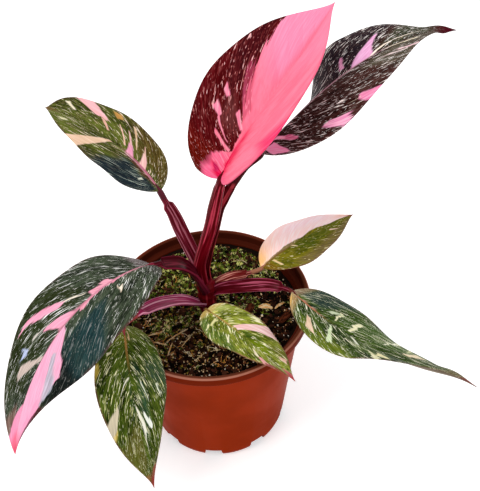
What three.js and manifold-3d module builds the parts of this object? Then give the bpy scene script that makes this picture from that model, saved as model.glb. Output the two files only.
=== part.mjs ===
// Pink princess philodendron, a climbing aroid, growing in a round plastic nursery pot.
//
// Millimetres, +Z up. The origin is the centre of the pot's underside, on the pot's axis, and -Y is
// the side that the small front leaf points to.
//
// The plant is one short stem with eight leaves. Every leaf is a blade on a petiole, and every
// petiole is a winged, channelled sheath that narrows suddenly to a thin stalk below the blade.
// Pieces that touch on the plant keep a gap of CLEARANCE here, so that each one is its own solid.

import * as THREE from 'three';
import { mergeVertices } from 'three/addons/utils/BufferGeometryUtils.js';
import Module from 'manifold-3d';

const wasm = await Module();
wasm.setup();

// ---------------------------------------------------------------------------------------------
// Driving dimensions
// ---------------------------------------------------------------------------------------------

const CLEARANCE = 0.3;

// The pot is a 12 cm nursery pot: 120 mm over the lip.
const POT = {
  height: 106,
  lipRadius: 60,
  lipHeight: 6.4,
  lipWidth: 2.8,
  lipEdge: 0.7,
  neckRadius: 55.4,
  baseRadius: 43.5,
  cornerHeight: 8.6,
  footRadius: 38.4,
  footWidth: 2.6,
  wall: 1.5,
  ledgeDepth: 5.2,
  floorGap: 3,
  centreFootRadius: 9,
  segments: 48,
};

// Drainage slots through the bottom corner.
const NOTCH = { count: 9, first: -56, inner: 34, height: 8.6, topWidth: 10, bottomWidth: 15 };
const DRAIN = { count: 6, radius: 3.2, ring: 24, sides: 12 };

const COMPOST = { top: 95, bump: 1.1, segments: 40, rings: [13, 21, 30, 39, 47] };

// The stem leans back a little. Each leaf scar is a low ring round it.
const STEM = {
  foot: [-2, 0.5, 60],
  soil: [-2, 2, 95],
  crown: [-2, 7, 114.5],
  rootRadius: 3.6,
  radius: 4.8,
  crownRadius: 5.6,
  scar: 0.5,
  scarHeights: [98, 102, 106, 110],
  sides: 16,
};

const BLADE = {
  thickness: 0.8,
  ribDepth: 1.5,
  ribRuns: 0.9,
  veinCurve: 1.3,
  firstCurve: 0.42,
  pinch: 0.12,
  tipFrom: 0.8,
  across: [0, 0.07, 0.3, 0.55, 0.8, 1],
  stations: 15,
  ripples: 5,
};

const PETIOLE = {
  sectionPoints: 7,
  sheathSteps: 9,
  stalkSteps: 4,
  shoulder: 0.02,
  endTaper: 0.18,
  channel: -0.42,
  stalkFill: 0.8,
  wingEdge: 0.22,
};

// One entry for each leaf, in the order that their petioles clasp the stem, from the oldest up.
//
// Blade: base is where the stalk meets it. heading and rise are the compass angle from +X and the
// angle above the horizon of the midrib, at the base and at the tip, in degrees; bend says how soon
// the rise changes. Where a value has two numbers for the two halves, the right one comes first, as
// seen looking from base to tip. half is the greatest width of each half, lobe how far it reaches
// back past the base, broad where it is widest, as a share of the length, full how long it stays
// wide, and drip how long its pointed tip is. roll turns the blade about its midrib, at the base
// and at the tip. fold lifts both halves from the midrib, and curl bends them down to the margin.
// wave is the height of the margin's ripple. Near the tip, from tipFrom on, twist adds to the roll
// and hook to the rise, and pinch says how blunt the tip is. sag lets the base of the left half
// hang.
//
// Petiole: route runs from inside the stem to the blade, width and depth are the sheath's, start is
// its half width at the stem, open is the side that its channel faces, sheath is the share of the
// length that it covers, and stalk is the radius of the thin part above it.
const LEAVES = [
  {
    name: 'front',
    colour: 0x7f9140,
    base: [-1.4, -17.4, 116],
    heading: [-43, -53],
    rise: [-2, -3],
    bend: 1,
    length: 70,
    half: [19, 18],
    lobe: [1.5, 1.5],
    broad: [0.4, 0.4],
    full: [0.55, 0.55],
    drip: [0.18, 0.18],
    roll: [5, 40],
    fold: 10,
    curl: 14,
    wave: 0.6,
    route: [
      [-2, 3, 97],
      [-2, -3, 101],
      [-1.8, -10, 107],
    ],
    width: 5,
    depth: 2.2,
    start: 2.4,
    open: [0, 0, 1],
    sheath: 0.75,
    stalk: 1.1,
  },
  {
    name: 'hanging',
    colour: 0x4a5f38,
    base: [-46, -42.5, 134.5],
    heading: [-87, -67],
    rise: [-44, -87],
    bend: 1,
    length: 108,
    half: [20, 20],
    lobe: [1.3, 1.3],
    broad: [0.31, 0.31],
    full: [0.46, 0.46],
    drip: [0.27, 0.27],
    roll: [13, 33],
    fold: 5,
    curl: 12,
    wave: 1,
    route: [
      [-2, 3, 98],
      [-7.7, -3, 108],
      [-16.4, -10, 118],
      [-28.4, -23, 130],
      [-39.2, -35.5, 136],
    ],
    width: 9.5,
    depth: 2.9,
    start: 2.4,
    open: [0, 0, 1],
    sheath: 0.8,
    stalk: 1.9,
  },
  {
    name: 'right',
    colour: 0x46603c,
    base: [47.9, -14.6, 125],
    heading: [-39, -11],
    rise: [-29, -3],
    bend: 0.9,
    length: 119,
    half: [32, 27.5],
    lobe: [-1.3, -3],
    broad: [0.38, 0.52],
    full: [0.08, 0.8],
    drip: [0.33, 0.27],
    roll: [7, 60],
    fold: 14,
    curl: 16,
    hook: -30,
    twist: -25,
    wave: 1,
    route: [
      [-1.5, 4.6, 104],
      [2, 2.8, 109.5],
      [6.3, 1.6, 113],
      [18.3, -2.4, 118.5],
      [31, -7, 123.5],
      [39, -10.5, 125.5],
    ],
    width: 8,
    depth: 2.8,
    start: 2.4,
    open: [0, -0.6, 0.8],
    sheath: 0.88,
    stalk: 1.3,
  },
  {
    name: 'inner_right',
    colour: 0x8c8a55,
    base: [31.2, 2.4, 128],
    heading: [33, 38],
    rise: [18, -20],
    bend: 1,
    length: 74,
    half: [18.5, 18.5],
    lobe: [-1.4, -1.4],
    broad: [0.37, 0.37],
    full: [0.46, 0.46],
    drip: [0.18, 0.18],
    roll: [5, 8],
    fold: 6,
    curl: 18,
    wave: 0.6,
    route: [
      [-1.5, 6, 105],
      [1.5, 7.4, 109],
      [5.2, 7.2, 112.8],
      [13.7, 6, 118.4],
      [22, 3.8, 122],
    ],
    width: 6.4,
    depth: 2.2,
    start: 2.4,
    open: [0, -0.2, 1],
    sheath: 0.74,
    stalk: 1.3,
  },
  {
    name: 'large_left',
    colour: 0x35443a,
    base: [-30.8, -9.8, 148],
    heading: [-148, -125],
    rise: [26, -71],
    bend: 0.65,
    length: 144,
    half: [37, 38],
    lobe: [1.5, 3],
    broad: [0.27, 0.37],
    full: [0.2, 0.18],
    drip: [0.07, 0.39],
    roll: [-22, 9],
    fold: 2,
    curl: 7,
    wave: 1.6,
    route: [
      [-1.8, 4, 106],
      [-3.3, 1.2, 118],
      [-7.7, -1, 132.5],
      [-15, -4, 142],
      [-24.2, -8, 146.5],
    ],
    width: 11,
    depth: 3.4,
    start: 2.6,
    open: [0.35, 0.1, 1],
    sheath: 0.88,
    stalk: 1.7,
  },
  {
    name: 'upper_left',
    colour: 0x5d6a3d,
    base: [-24, 24.6, 172],
    heading: [133, 182],
    rise: [42, 26],
    bend: 1,
    length: 80,
    half: [20.7, 20.7],
    lobe: [-1.2, -1.2],
    broad: [0.4, 0.4],
    full: [0.9, 0.9],
    drip: [0.09, 0.09],
    roll: [-5, 10],
    fold: 12,
    curl: 19,
    wave: 0.8,
    route: [
      [-2, 6.5, 105],
      [-4.4, 12, 112.3],
      [-6.4, 15.8, 120.4],
      [-9.9, 18, 130.7],
      [-14.3, 20.5, 143.7],
      [-18.6, 22.4, 158],
      [-21.8, 23.6, 164.8],
    ],
    width: 8.6,
    depth: 2.8,
    start: 2.6,
    open: [0.5, -0.7, 0.5],
    sheath: 0.86,
    stalk: 1.8,
  },
  {
    name: 'crown',
    colour: 0xd86a80,
    base: [11.5, 0, 200],
    heading: [21, 57],
    rise: [75, 20],
    bend: 0.5,
    length: 112,
    half: [30.6, 33],
    lobe: [0.5, 6.4],
    broad: [0.37, 0.39],
    full: [0.5, 0.58],
    drip: [0.24, 0.16],
    roll: [-11, 3],
    fold: 32,
    curl: 3,
    wave: 0.8,
    route: [
      [-3, 6.4, 107],
      [-4.5, 7.2, 118.5],
      [-4.9, 7.8, 127],
      [-3.4, 8.4, 134],
      [-0.6, 8.6, 143.3],
      [3.3, 8.2, 156.8],
      [6.6, 6.4, 173.4],
      [9.6, 3.2, 189],
    ],
    width: 7.6,
    depth: 3.2,
    start: 3.6,
    open: [0.35, 0.9, 0.1],
    sheath: 0.9,
    stalk: 2.6,
  },
  {
    name: 'rear',
    colour: 0x4b3033,
    base: [32.2, 10.6, 207],
    heading: [30, 24],
    rise: [33, -20],
    bend: 1.85,
    length: 135,
    half: [33, 32],
    lobe: [-1.8, -20],
    broad: [0.31, 0.42],
    full: [0.51, 0.87],
    drip: [0.47, 0.51],
    roll: [6, 16],
    fold: 11,
    curl: 18,
    pinch: 0.2,
    tipFrom: 0.86,
    twist: -110,
    sag: { angle: 58, from: 0.18, to: 0.56 },
    wave: 0.8,
    stations: 22,
    route: [
      [-1, 8, 107],
      [-2.2, 10, 122.4],
      [-0.7, 10.9, 130.7],
      [1.6, 11.5, 139.9],
      [5.2, 11.3, 153.5],
      [8.8, 10.4, 169.5],
      [11.9, 9.8, 176.6],
      [15, 9.4, 183.3],
      [18.7, 9.4, 190.2],
      [25, 9.6, 200.1],
    ],
    width: 6.8,
    depth: 3,
    start: 3.2,
    open: [-0.35, -0.9, 0.1],
    sheath: 0.74,
    stalk: 2.5,
  },
];

const COLOURS = {
  pot: new THREE.MeshStandardMaterial({ color: 0x9a3a1c, roughness: 0.45, metalness: 0 }),
  compost: new THREE.MeshStandardMaterial({ color: 0x241a12, roughness: 0.95, metalness: 0 }),
  stem: new THREE.MeshStandardMaterial({ color: 0x5c0f1b, roughness: 0.4, metalness: 0 }),
  petiole: new THREE.MeshStandardMaterial({ color: 0x6d1228, roughness: 0.35, metalness: 0 }),
};

// ---------------------------------------------------------------------------------------------
// Meshes and solids
// ---------------------------------------------------------------------------------------------

const RIGHT = 1;
const LEFT = -1;
const UP = new THREE.Vector3(0, 0, 1);

const radians = THREE.MathUtils.degToRad;
const vector = (p) => new THREE.Vector3(...p);
const mix = THREE.MathUtils.lerp;
const ease = THREE.MathUtils.smoothstep;
const forSide = (pair, side) => (side === RIGHT ? pair[0] : pair[1]);

// A closed surface that is gathered point by point.
class Skin {
  constructor() {
    this.positions = [];
    this.triangles = [];
  }

  point(p) {
    this.positions.push(p.x, p.y, p.z);
    return this.positions.length / 3 - 1;
  }

  triangle(a, b, c) {
    this.triangles.push(a, b, c);
  }

  // Split from a to c.
  quad(a, b, c, d) {
    this.triangle(a, b, c);
    this.triangle(a, c, d);
  }

  geometry() {
    const geometry = new THREE.BufferGeometry();
    geometry.setAttribute('position', new THREE.Float32BufferAttribute(this.positions, 3));
    geometry.setIndex(this.triangles);
    return geometry;
  }
}

// A three.js geometry as a manifold solid: shared points merged and collapsed triangles left out.
function solidOf(geometry) {
  const bare = geometry.clone();
  bare.deleteAttribute('normal');
  bare.deleteAttribute('uv');
  const merged = mergeVertices(bare, 1e-4);
  const index = merged.index.array;
  const kept = [];
  for (let i = 0; i < index.length; i += 3) {
    const [a, b, c] = [index[i], index[i + 1], index[i + 2]];
    if (a !== b && b !== c && c !== a) kept.push(a, b, c);
  }
  return new wasm.Manifold(
    new wasm.Mesh({
      numProp: 3,
      vertProperties: Float32Array.from(merged.attributes.position.array),
      triVerts: Uint32Array.from(kept),
    }),
  );
}

function geometryOf(solid) {
  const mesh = solid.getMesh();
  const geometry = new THREE.BufferGeometry();
  geometry.setAttribute('position', new THREE.BufferAttribute(mesh.vertProperties, 3));
  geometry.setIndex(new THREE.BufferAttribute(mesh.triVerts, 1));
  return geometry;
}

// The largest body of a solid that a cut has left with loose scraps.
function largestBody(solid) {
  const bodies = solid.decompose();
  return bodies.reduce((best, body) => (body.volume() > best.volume() ? body : best));
}

// A closed or axis-to-axis profile of [radius, height] points, turned round Z.
function turned(profile, segments) {
  const points = profile.map(([radius, height]) => new THREE.Vector2(radius, height));
  return new THREE.LatheGeometry(points, segments).rotateX(Math.PI / 2);
}

// ---------------------------------------------------------------------------------------------
// Pot, compost and stem
// ---------------------------------------------------------------------------------------------

const potNeckHeight = POT.height - POT.lipHeight;

function potWallRadius(height) {
  const share = (height - POT.cornerHeight) / (potNeckHeight - POT.cornerHeight);
  return mix(POT.baseRadius, POT.neckRadius, share);
}

// The rounded bottom corner, a quarter of an ellipse from the foot to the wall.
function potCorner(steps, inset) {
  const run = POT.baseRadius - POT.footRadius;
  const points = [];
  for (let i = 0; i <= steps; i += 1) {
    const angle = (i / steps) * (Math.PI / 2);
    points.push([
      POT.footRadius + run * Math.sin(angle) - inset,
      POT.cornerHeight * (1 - Math.cos(angle)),
    ]);
  }
  return points;
}

function makePot() {
  const floorTop = POT.floorGap + POT.wall;
  const lipInside = POT.lipRadius - POT.lipWidth;
  const ledge = POT.height - POT.ledgeDepth;
  const body = solidOf(
    turned(
      [
        [0, 0],
        [POT.centreFootRadius, 0],
        [POT.centreFootRadius, POT.floorGap],
        [POT.footRadius - POT.footWidth, POT.floorGap],
        [POT.footRadius - POT.footWidth, 0],
        ...potCorner(5, 0),
        [POT.neckRadius, potNeckHeight],
        [POT.lipRadius - POT.lipEdge, potNeckHeight],
        [POT.lipRadius, potNeckHeight + POT.lipEdge],
        [POT.lipRadius, POT.height - POT.lipEdge],
        [POT.lipRadius - POT.lipEdge, POT.height],
        [lipInside + POT.lipEdge, POT.height],
        [lipInside, POT.height - POT.lipEdge],
        [lipInside, ledge],
        [potWallRadius(ledge) - POT.wall, ledge - POT.lipEdge],
        [potWallRadius(POT.cornerHeight) - POT.wall, POT.cornerHeight],
        [POT.footRadius, floorTop],
        [0, floorTop],
      ],
      POT.segments,
    ),
  );

  // One slot, cut outwards through the foot ring and the corner.
  const notchShape = new THREE.Shape([
    new THREE.Vector2(-NOTCH.bottomWidth / 2, -1),
    new THREE.Vector2(NOTCH.bottomWidth / 2, -1),
    new THREE.Vector2(NOTCH.topWidth / 2, NOTCH.height),
    new THREE.Vector2(-NOTCH.topWidth / 2, NOTCH.height),
  ]);
  const notch = new THREE.ExtrudeGeometry(notchShape, { depth: 12, bevelEnabled: false })
    .rotateX(Math.PI / 2)
    .rotateZ(Math.PI)
    .translate(0, NOTCH.inner, 0)
    .rotateZ(-Math.PI / 2);

  let pot = body;
  for (let i = 0; i < NOTCH.count; i += 1) {
    const angle = radians(NOTCH.first + (360 / NOTCH.count) * i);
    pot = pot.subtract(solidOf(notch.clone().rotateZ(angle)));
  }
  for (let i = 0; i < DRAIN.count; i += 1) {
    const angle = (i / DRAIN.count) * 2 * Math.PI;
    const hole = new THREE.CylinderGeometry(DRAIN.radius, DRAIN.radius, 4 * POT.wall, DRAIN.sides)
      .rotateX(Math.PI / 2)
      .translate(DRAIN.ring * Math.cos(angle), DRAIN.ring * Math.sin(angle), floorTop);
    pot = pot.subtract(solidOf(hole));
  }
  return geometryOf(pot);
}

// How far the compost's surface stands above its level.
function compostBump(x, y) {
  const broad = Math.sin(x / 9 + 1.3) * Math.cos(y / 7.5 - 0.6);
  const fine = Math.sin(x / 3.7 + y / 5.1) * Math.sin(y / 4.3 - x / 6.1);
  return COMPOST.bump * (0.6 * broad + 0.4 * fine);
}

function makeCompost() {
  const floor = POT.floorGap + POT.wall + CLEARANCE;
  const inside = (height) => potWallRadius(height) - POT.wall - CLEARANCE;
  const rings = [
    [POT.footRadius - CLEARANCE, floor],
    [inside(POT.cornerHeight), POT.cornerHeight],
    [inside(COMPOST.top), COMPOST.top - COMPOST.bump],
    ...COMPOST.rings.toReversed().map((radius) => [radius, COMPOST.top]),
  ];
  const skin = new Skin();
  const bottom = skin.point(new THREE.Vector3(0, 0, floor));
  const rows = rings.map(([radius, height]) => {
    const row = [];
    for (let i = 0; i < COMPOST.segments; i += 1) {
      const angle = (i / COMPOST.segments) * 2 * Math.PI;
      const [x, y] = [radius * Math.cos(angle), radius * Math.sin(angle)];
      const bump = height === COMPOST.top ? compostBump(x, y) : 0;
      row.push(skin.point(new THREE.Vector3(x, y, height + bump)));
    }
    return row;
  });
  const top = skin.point(new THREE.Vector3(0, 0, COMPOST.top));
  for (let i = 0; i < COMPOST.segments; i += 1) {
    const j = (i + 1) % COMPOST.segments;
    skin.triangle(bottom, rows[0][j], rows[0][i]);
    for (let k = 0; k + 1 < rows.length; k += 1) {
      skin.quad(rows[k][i], rows[k][j], rows[k + 1][j], rows[k + 1][i]);
    }
    skin.triangle(rows.at(-1)[i], rows.at(-1)[j], top);
  }
  return geometryOf(solidOf(skin.geometry()).subtract(stemSolid(CLEARANCE)));
}

// The stem, grown by margin on every side, for the stem itself and for what has to clear it.
function stemSolid(margin) {
  const [foot, soil, crown] = [vector(STEM.foot), vector(STEM.soil), vector(STEM.crown)];
  const rings = [
    [foot.clone(), STEM.rootRadius],
    [foot.clone().lerp(soil, 0.5), mix(STEM.rootRadius, STEM.radius, 0.7)],
    [soil.clone(), STEM.radius],
  ];
  for (const height of STEM.scarHeights) {
    const share = (height - soil.z) / (crown.z - soil.z);
    const centre = soil.clone().lerp(crown, share);
    const radius = mix(STEM.radius, STEM.crownRadius, share);
    rings.push([centre.clone().add(new THREE.Vector3(0, 0, -0.8)), radius]);
    rings.push([centre, radius + STEM.scar]);
    rings.push([centre.clone().add(new THREE.Vector3(0, 0, 0.6)), radius]);
  }
  rings.push([crown.clone(), STEM.crownRadius - STEM.scar]);
  rings[0][0].z -= margin;
  rings.at(-1)[0].z += margin;

  const skin = new Skin();
  const rows = rings.map(([centre, radius]) => {
    const row = [];
    for (let i = 0; i < STEM.sides; i += 1) {
      const angle = (i / STEM.sides) * 2 * Math.PI;
      const spoke = new THREE.Vector3(Math.cos(angle), Math.sin(angle), 0);
      row.push(skin.point(centre.clone().addScaledVector(spoke, radius + margin)));
    }
    return row;
  });
  const bottom = skin.point(rings[0][0]);
  const top = skin.point(rings.at(-1)[0]);
  for (let i = 0; i < STEM.sides; i += 1) {
    const j = (i + 1) % STEM.sides;
    skin.triangle(bottom, rows[0][j], rows[0][i]);
    for (let k = 0; k + 1 < rows.length; k += 1) {
      skin.quad(rows[k][i], rows[k][j], rows[k + 1][j], rows[k + 1][i]);
    }
    skin.triangle(rows.at(-1)[i], rows.at(-1)[j], top);
  }
  return solidOf(skin.geometry());
}

// ---------------------------------------------------------------------------------------------
// Leaf blades
// ---------------------------------------------------------------------------------------------

const MIDRIB_STEPS = 120;

// The midrib as points with a frame each: along to the tip, side to the right, and normal upwards.
function midribOf(leaf) {
  const frames = [];
  const position = vector(leaf.base);
  let previous = null;
  for (let i = 0; i <= MIDRIB_STEPS; i += 1) {
    const u = i / MIDRIB_STEPS;
    const end = ease(u, leaf.tipFrom ?? BLADE.tipFrom, 1);
    const rise = radians(mix(leaf.rise[0], leaf.rise[1], u ** leaf.bend) + (leaf.hook ?? 0) * end);
    const heading = radians(mix(leaf.heading[0], leaf.heading[1], u));
    const along = new THREE.Vector3(
      Math.cos(rise) * Math.cos(heading),
      Math.cos(rise) * Math.sin(heading),
      Math.sin(rise),
    );
    if (previous) {
      position.addScaledVector(previous.clone().add(along), leaf.length / MIDRIB_STEPS / 2);
    }
    const side = along.clone().cross(UP).normalize();
    const normal = side.clone().cross(along);
    const roll = radians(mix(leaf.roll[0], leaf.roll[1], u) + (leaf.twist ?? 0) * end);
    frames.push({
      position: position.clone(),
      along,
      side: side.clone().multiplyScalar(Math.cos(roll)).addScaledVector(normal, Math.sin(roll)),
      normal: normal.clone().multiplyScalar(Math.cos(roll)).addScaledVector(side, -Math.sin(roll)),
    });
    previous = along;
  }
  return frames;
}

// The midrib's frame at a distance x from the base. Behind the base it runs on straight.
function frameAt(leaf, midrib, x) {
  const place = THREE.MathUtils.clamp(x / leaf.length, 0, 1) * MIDRIB_STEPS;
  const first = Math.min(Math.floor(place), MIDRIB_STEPS - 1);
  const share = place - first;
  const [a, b] = [midrib[first], midrib[first + 1]];
  const frame = {};
  for (const key of ['position', 'along', 'side', 'normal']) {
    frame[key] = a[key].clone().lerp(b[key], share);
  }
  if (x < 0) frame.position.addScaledVector(frame.along, x);
  return frame;
}

// The flat outline of one half: from the base, round the lobe to the widest place, and to the tip.
function outlineOf(leaf, side) {
  const { length } = leaf;
  const half = forSide(leaf.half, side);
  const lobe = forSide(leaf.lobe, side);
  const widest = forSide(leaf.broad, side) * length;
  const rest = length - widest;
  const full = forSide(leaf.full, side) * rest;
  const drip = forSide(leaf.drip, side) * rest;
  const lower = new THREE.CubicBezierCurve(
    new THREE.Vector2(0, 0),
    new THREE.Vector2(-1.33 * lobe, 0.35 * half),
    new THREE.Vector2(0.3 * widest - lobe, half),
    new THREE.Vector2(widest, half),
  );
  const upper = new THREE.CubicBezierCurve(
    new THREE.Vector2(widest, half),
    new THREE.Vector2(widest + full, half),
    new THREE.Vector2(length - drip, (leaf.pinch ?? BLADE.pinch) * half),
    new THREE.Vector2(length, 0),
  );
  return (s) =>
    s < BLADE.firstCurve
      ? lower.getPoint(s / BLADE.firstCurve)
      : upper.getPoint((s - BLADE.firstCurve) / (1 - BLADE.firstCurve));
}

// Where the lateral vein to the margin point s leaves the midrib, as a share of the length.
const veinStart = (s) => 1.6 * s ** 2 - 0.6 * s ** 3;

// The blade's surface point and normal at the flat place (x, y) of one half.
function surfaceAt(leaf, midrib, side, x, y) {
  const { position, along, side: across, normal } = frameAt(leaf, midrib, x);
  const half = forSide(leaf.half, side);
  const u = THREE.MathUtils.clamp(x / leaf.length, 0, 1);
  let start = radians(leaf.fold);
  if (leaf.sag && side === LEFT) {
    start -= radians(leaf.sag.angle) * (1 - ease(u, leaf.sag.from, leaf.sag.to));
  }
  const bend = radians(leaf.curl) / half;
  const slope = start - bend * y;
  const reach = (Math.sin(start) - Math.sin(slope)) / bend;
  const phase = BLADE.ripples * Math.PI * u + (side === RIGHT ? 0 : 2);
  const ripple = leaf.wave * Math.sin(phase) * (y / half) ** 2;
  const lift = (Math.cos(slope) - Math.cos(start)) / bend + ripple;
  const [level, steep] = [Math.cos(slope), Math.sin(slope)];
  return {
    point: position.addScaledVector(across, side * reach).addScaledVector(normal, lift),
    normal: normal.clone().multiplyScalar(level).addScaledVector(across, -side * steep),
    out: across.clone().multiplyScalar(side * level).addScaledVector(normal, steep),
    rib: normal,
    along,
  };
}

// A blade with the midrib's keel along its underside, grown by margin on every side.
function bladeSkin(leaf, margin) {
  const midrib = midribOf(leaf);
  const skin = new Skin();
  const stations = leaf.stations ?? BLADE.stations;
  const half = BLADE.thickness / 2 + margin;

  const pair = (side, s, v) => {
    const start = veinStart(s) * leaf.length;
    const edge = outlineOf(leaf, side)(s);
    const x = start + (edge.x - start) * v ** BLADE.veinCurve;
    const { point, normal, rib, along, out } = surfaceAt(leaf, midrib, side, x, edge.y * v);
    if (s === 0 || s === 1) point.addScaledVector(along, s === 0 ? -margin : margin);
    else if (v === 1) point.addScaledVector(out, margin);
    const keel = v === 0 ? BLADE.ribDepth * Math.max(0, 1 - x / leaf.length / BLADE.ribRuns) : 0;
    const direction = v === 0 ? rib : normal;
    return {
      top: skin.point(point.clone().addScaledVector(direction, half)),
      bottom: skin.point(point.clone().addScaledVector(direction, -half - keel)),
    };
  };

  const base = pair(RIGHT, 0, 0);
  const tip = pair(RIGHT, 1, 0);
  const spine = [];
  for (let i = 1; i < stations; i += 1) spine.push(pair(RIGHT, i / stations, 0));

  for (const side of [RIGHT, LEFT]) {
    // rows[i][j]: station i from base to tip, place j from the midrib to the margin.
    const rows = spine.map((rib, i) => [
      rib,
      ...BLADE.across.slice(1).map((v) => pair(side, (i + 1) / stations, v)),
    ]);
    const last = BLADE.across.length - 1;
    const both = (a, b, c, d) => {
      if (side === RIGHT) {
        skin.quad(a.top, d.top, c.top, b.top);
        skin.quad(a.bottom, b.bottom, c.bottom, d.bottom);
      } else {
        skin.quad(a.top, b.top, c.top, d.top);
        skin.quad(a.bottom, d.bottom, c.bottom, b.bottom);
      }
    };
    const fan = (a, b, c) => {
      if (side === RIGHT) {
        skin.triangle(a.top, c.top, b.top);
        skin.triangle(a.bottom, b.bottom, c.bottom);
      } else {
        skin.triangle(a.top, b.top, c.top);
        skin.triangle(a.bottom, c.bottom, b.bottom);
      }
    };
    const edge = (a, b) => {
      if (side === RIGHT) skin.quad(a.bottom, b.bottom, b.top, a.top);
      else skin.quad(b.bottom, a.bottom, a.top, b.top);
    };
    for (let j = 0; j < last; j += 1) {
      fan(base, rows[0][j], rows[0][j + 1]);
      fan(tip, rows.at(-1)[j + 1], rows.at(-1)[j]);
      for (let i = 0; i + 1 < rows.length; i += 1) {
        both(rows[i][j], rows[i + 1][j], rows[i + 1][j + 1], rows[i][j + 1]);
      }
    }
    edge(base, rows[0][last]);
    for (let i = 0; i + 1 < rows.length; i += 1) edge(rows[i][last], rows[i + 1][last]);
    edge(rows.at(-1)[last], tip);
  }
  return skin.geometry();
}

// ---------------------------------------------------------------------------------------------
// Petioles
// ---------------------------------------------------------------------------------------------

// The petiole's stations: share of the route, half width, depth, and how far the channel is filled.
function petioleStations(leaf) {
  const stations = [];
  const wide = leaf.width / 2;
  for (let i = 0; i <= PETIOLE.sheathSteps; i += 1) {
    const share = i / PETIOLE.sheathSteps;
    const width = mix(leaf.start, wide, ease(share, 0, 0.4));
    const taper = 1 - PETIOLE.endTaper * ease(share, 0.75, 1);
    stations.push({
      at: share * leaf.sheath,
      width: width * taper,
      depth: leaf.depth * taper,
      fill: PETIOLE.channel,
    });
  }
  for (let i = 0; i <= PETIOLE.stalkSteps; i += 1) {
    const share = i / PETIOLE.stalkSteps;
    stations.push({
      at: mix(leaf.sheath + PETIOLE.shoulder, 1, share),
      width: leaf.stalk,
      depth: leaf.stalk,
      fill: PETIOLE.stalkFill,
    });
  }
  return stations;
}

// A petiole from inside the stem to the blade, grown by margin.
function petioleSolid(leaf, margin) {
  const midrib = midribOf(leaf);
  const end = midrib[0].position
    .clone()
    .addScaledVector(midrib[0].along, -CLEARANCE - 0.2)
    .addScaledVector(midrib[0].normal, -BLADE.ribDepth / 2);
  const curve = new THREE.CatmullRomCurve3([...leaf.route.map(vector), end], false, 'centripetal');
  const last = PETIOLE.sectionPoints - 1;
  const skin = new Skin();
  const rows = petioleStations(leaf).map(({ at, width, depth, fill }) => {
    const centre = curve.getPointAt(at);
    const along = curve.getTangentAt(at);
    const open = vector(leaf.open);
    open.addScaledVector(along, -open.dot(along)).normalize();
    const across = open.clone().cross(along);
    const place = (x, y) => skin.point(centre.clone().addScaledVector(across, x).addScaledVector(open, y));
    const edge = PETIOLE.wingEdge * depth;
    const row = { outer: [], inner: [] };
    for (let i = 0; i <= last; i += 1) {
      const angle = (i / last) * Math.PI;
      const x = (width + margin) * Math.cos(angle);
      const back = -(depth + margin) * Math.sin(angle) - margin;
      const front = fill * depth * Math.sin(angle) + edge + margin;
      row.outer.push(place(x, back));
      row.inner.push(place(x, front));
    }
    return row;
  });
  for (let k = 0; k + 1 < rows.length; k += 1) {
    const [a, b] = [rows[k], rows[k + 1]];
    for (let i = 0; i < last; i += 1) {
      skin.quad(a.outer[i], b.outer[i], b.outer[i + 1], a.outer[i + 1]);
      skin.quad(a.inner[i], a.inner[i + 1], b.inner[i + 1], b.inner[i]);
    }
    skin.quad(a.outer[last], b.outer[last], b.inner[last], a.inner[last]);
    skin.quad(a.outer[0], a.inner[0], b.inner[0], b.outer[0]);
  }
  const [start, finish] = [rows[0], rows.at(-1)];
  for (let i = 0; i < last; i += 1) {
    skin.quad(start.outer[i], start.outer[i + 1], start.inner[i + 1], start.inner[i]);
    skin.quad(finish.outer[i], finish.inner[i], finish.inner[i + 1], finish.outer[i + 1]);
  }
  return solidOf(skin.geometry());
}

// ---------------------------------------------------------------------------------------------
// The plant in its pot
// ---------------------------------------------------------------------------------------------

const plant = new THREE.Group();

function add(name, geometry, material) {
  const mesh = new THREE.Mesh(geometry, material);
  mesh.name = name;
  plant.add(mesh);
}

add('pot', makePot(), COLOURS.pot);
add('compost', makeCompost(), COLOURS.compost);
add('stem', geometryOf(stemSolid(0)), COLOURS.stem);

// Each petiole gives way to the stem, to its own blade and to the petioles below it.
const keepOut = [stemSolid(CLEARANCE)];
for (const leaf of LEAVES) {
  const blade = bladeSkin(leaf, 0);
  const grownBlade = solidOf(bladeSkin(leaf, CLEARANCE)).add(solidOf(blade));
  const whole = petioleSolid(leaf, 0);
  let petiole = whole.subtract(grownBlade);
  for (const neighbour of keepOut) petiole = petiole.subtract(neighbour);
  keepOut.push(petioleSolid(leaf, CLEARANCE).add(whole));

  const colour = new THREE.MeshStandardMaterial({ color: leaf.colour, roughness: 0.4, metalness: 0 });
  add(`petiole_${leaf.name}`, geometryOf(largestBody(petiole)), COLOURS.petiole);
  add(`blade_${leaf.name}`, blade, colour);
}

export default plant;
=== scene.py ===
"""Pink princess philodendron in a plastic nursery pot.

Builds the looks of the potted plant round its fixed frame: fine leaf blades, sheathed petioles, the
stem, the moulded pot, and the compost with its crumbs, moss, fibres and perlite.

Sizes in the leaf, pot, stem and compost classes are in millimetres, like the plant's own
measurements, and every mesh is made in metres.
"""

import logging
import math
from dataclasses import dataclass
from enum import Enum, IntEnum
from statistics import NormalDist
from typing import Any, Optional, Sequence, Union

import bmesh
import bpy
import numpy as np
from mathutils import Matrix, Vector, noise


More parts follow.
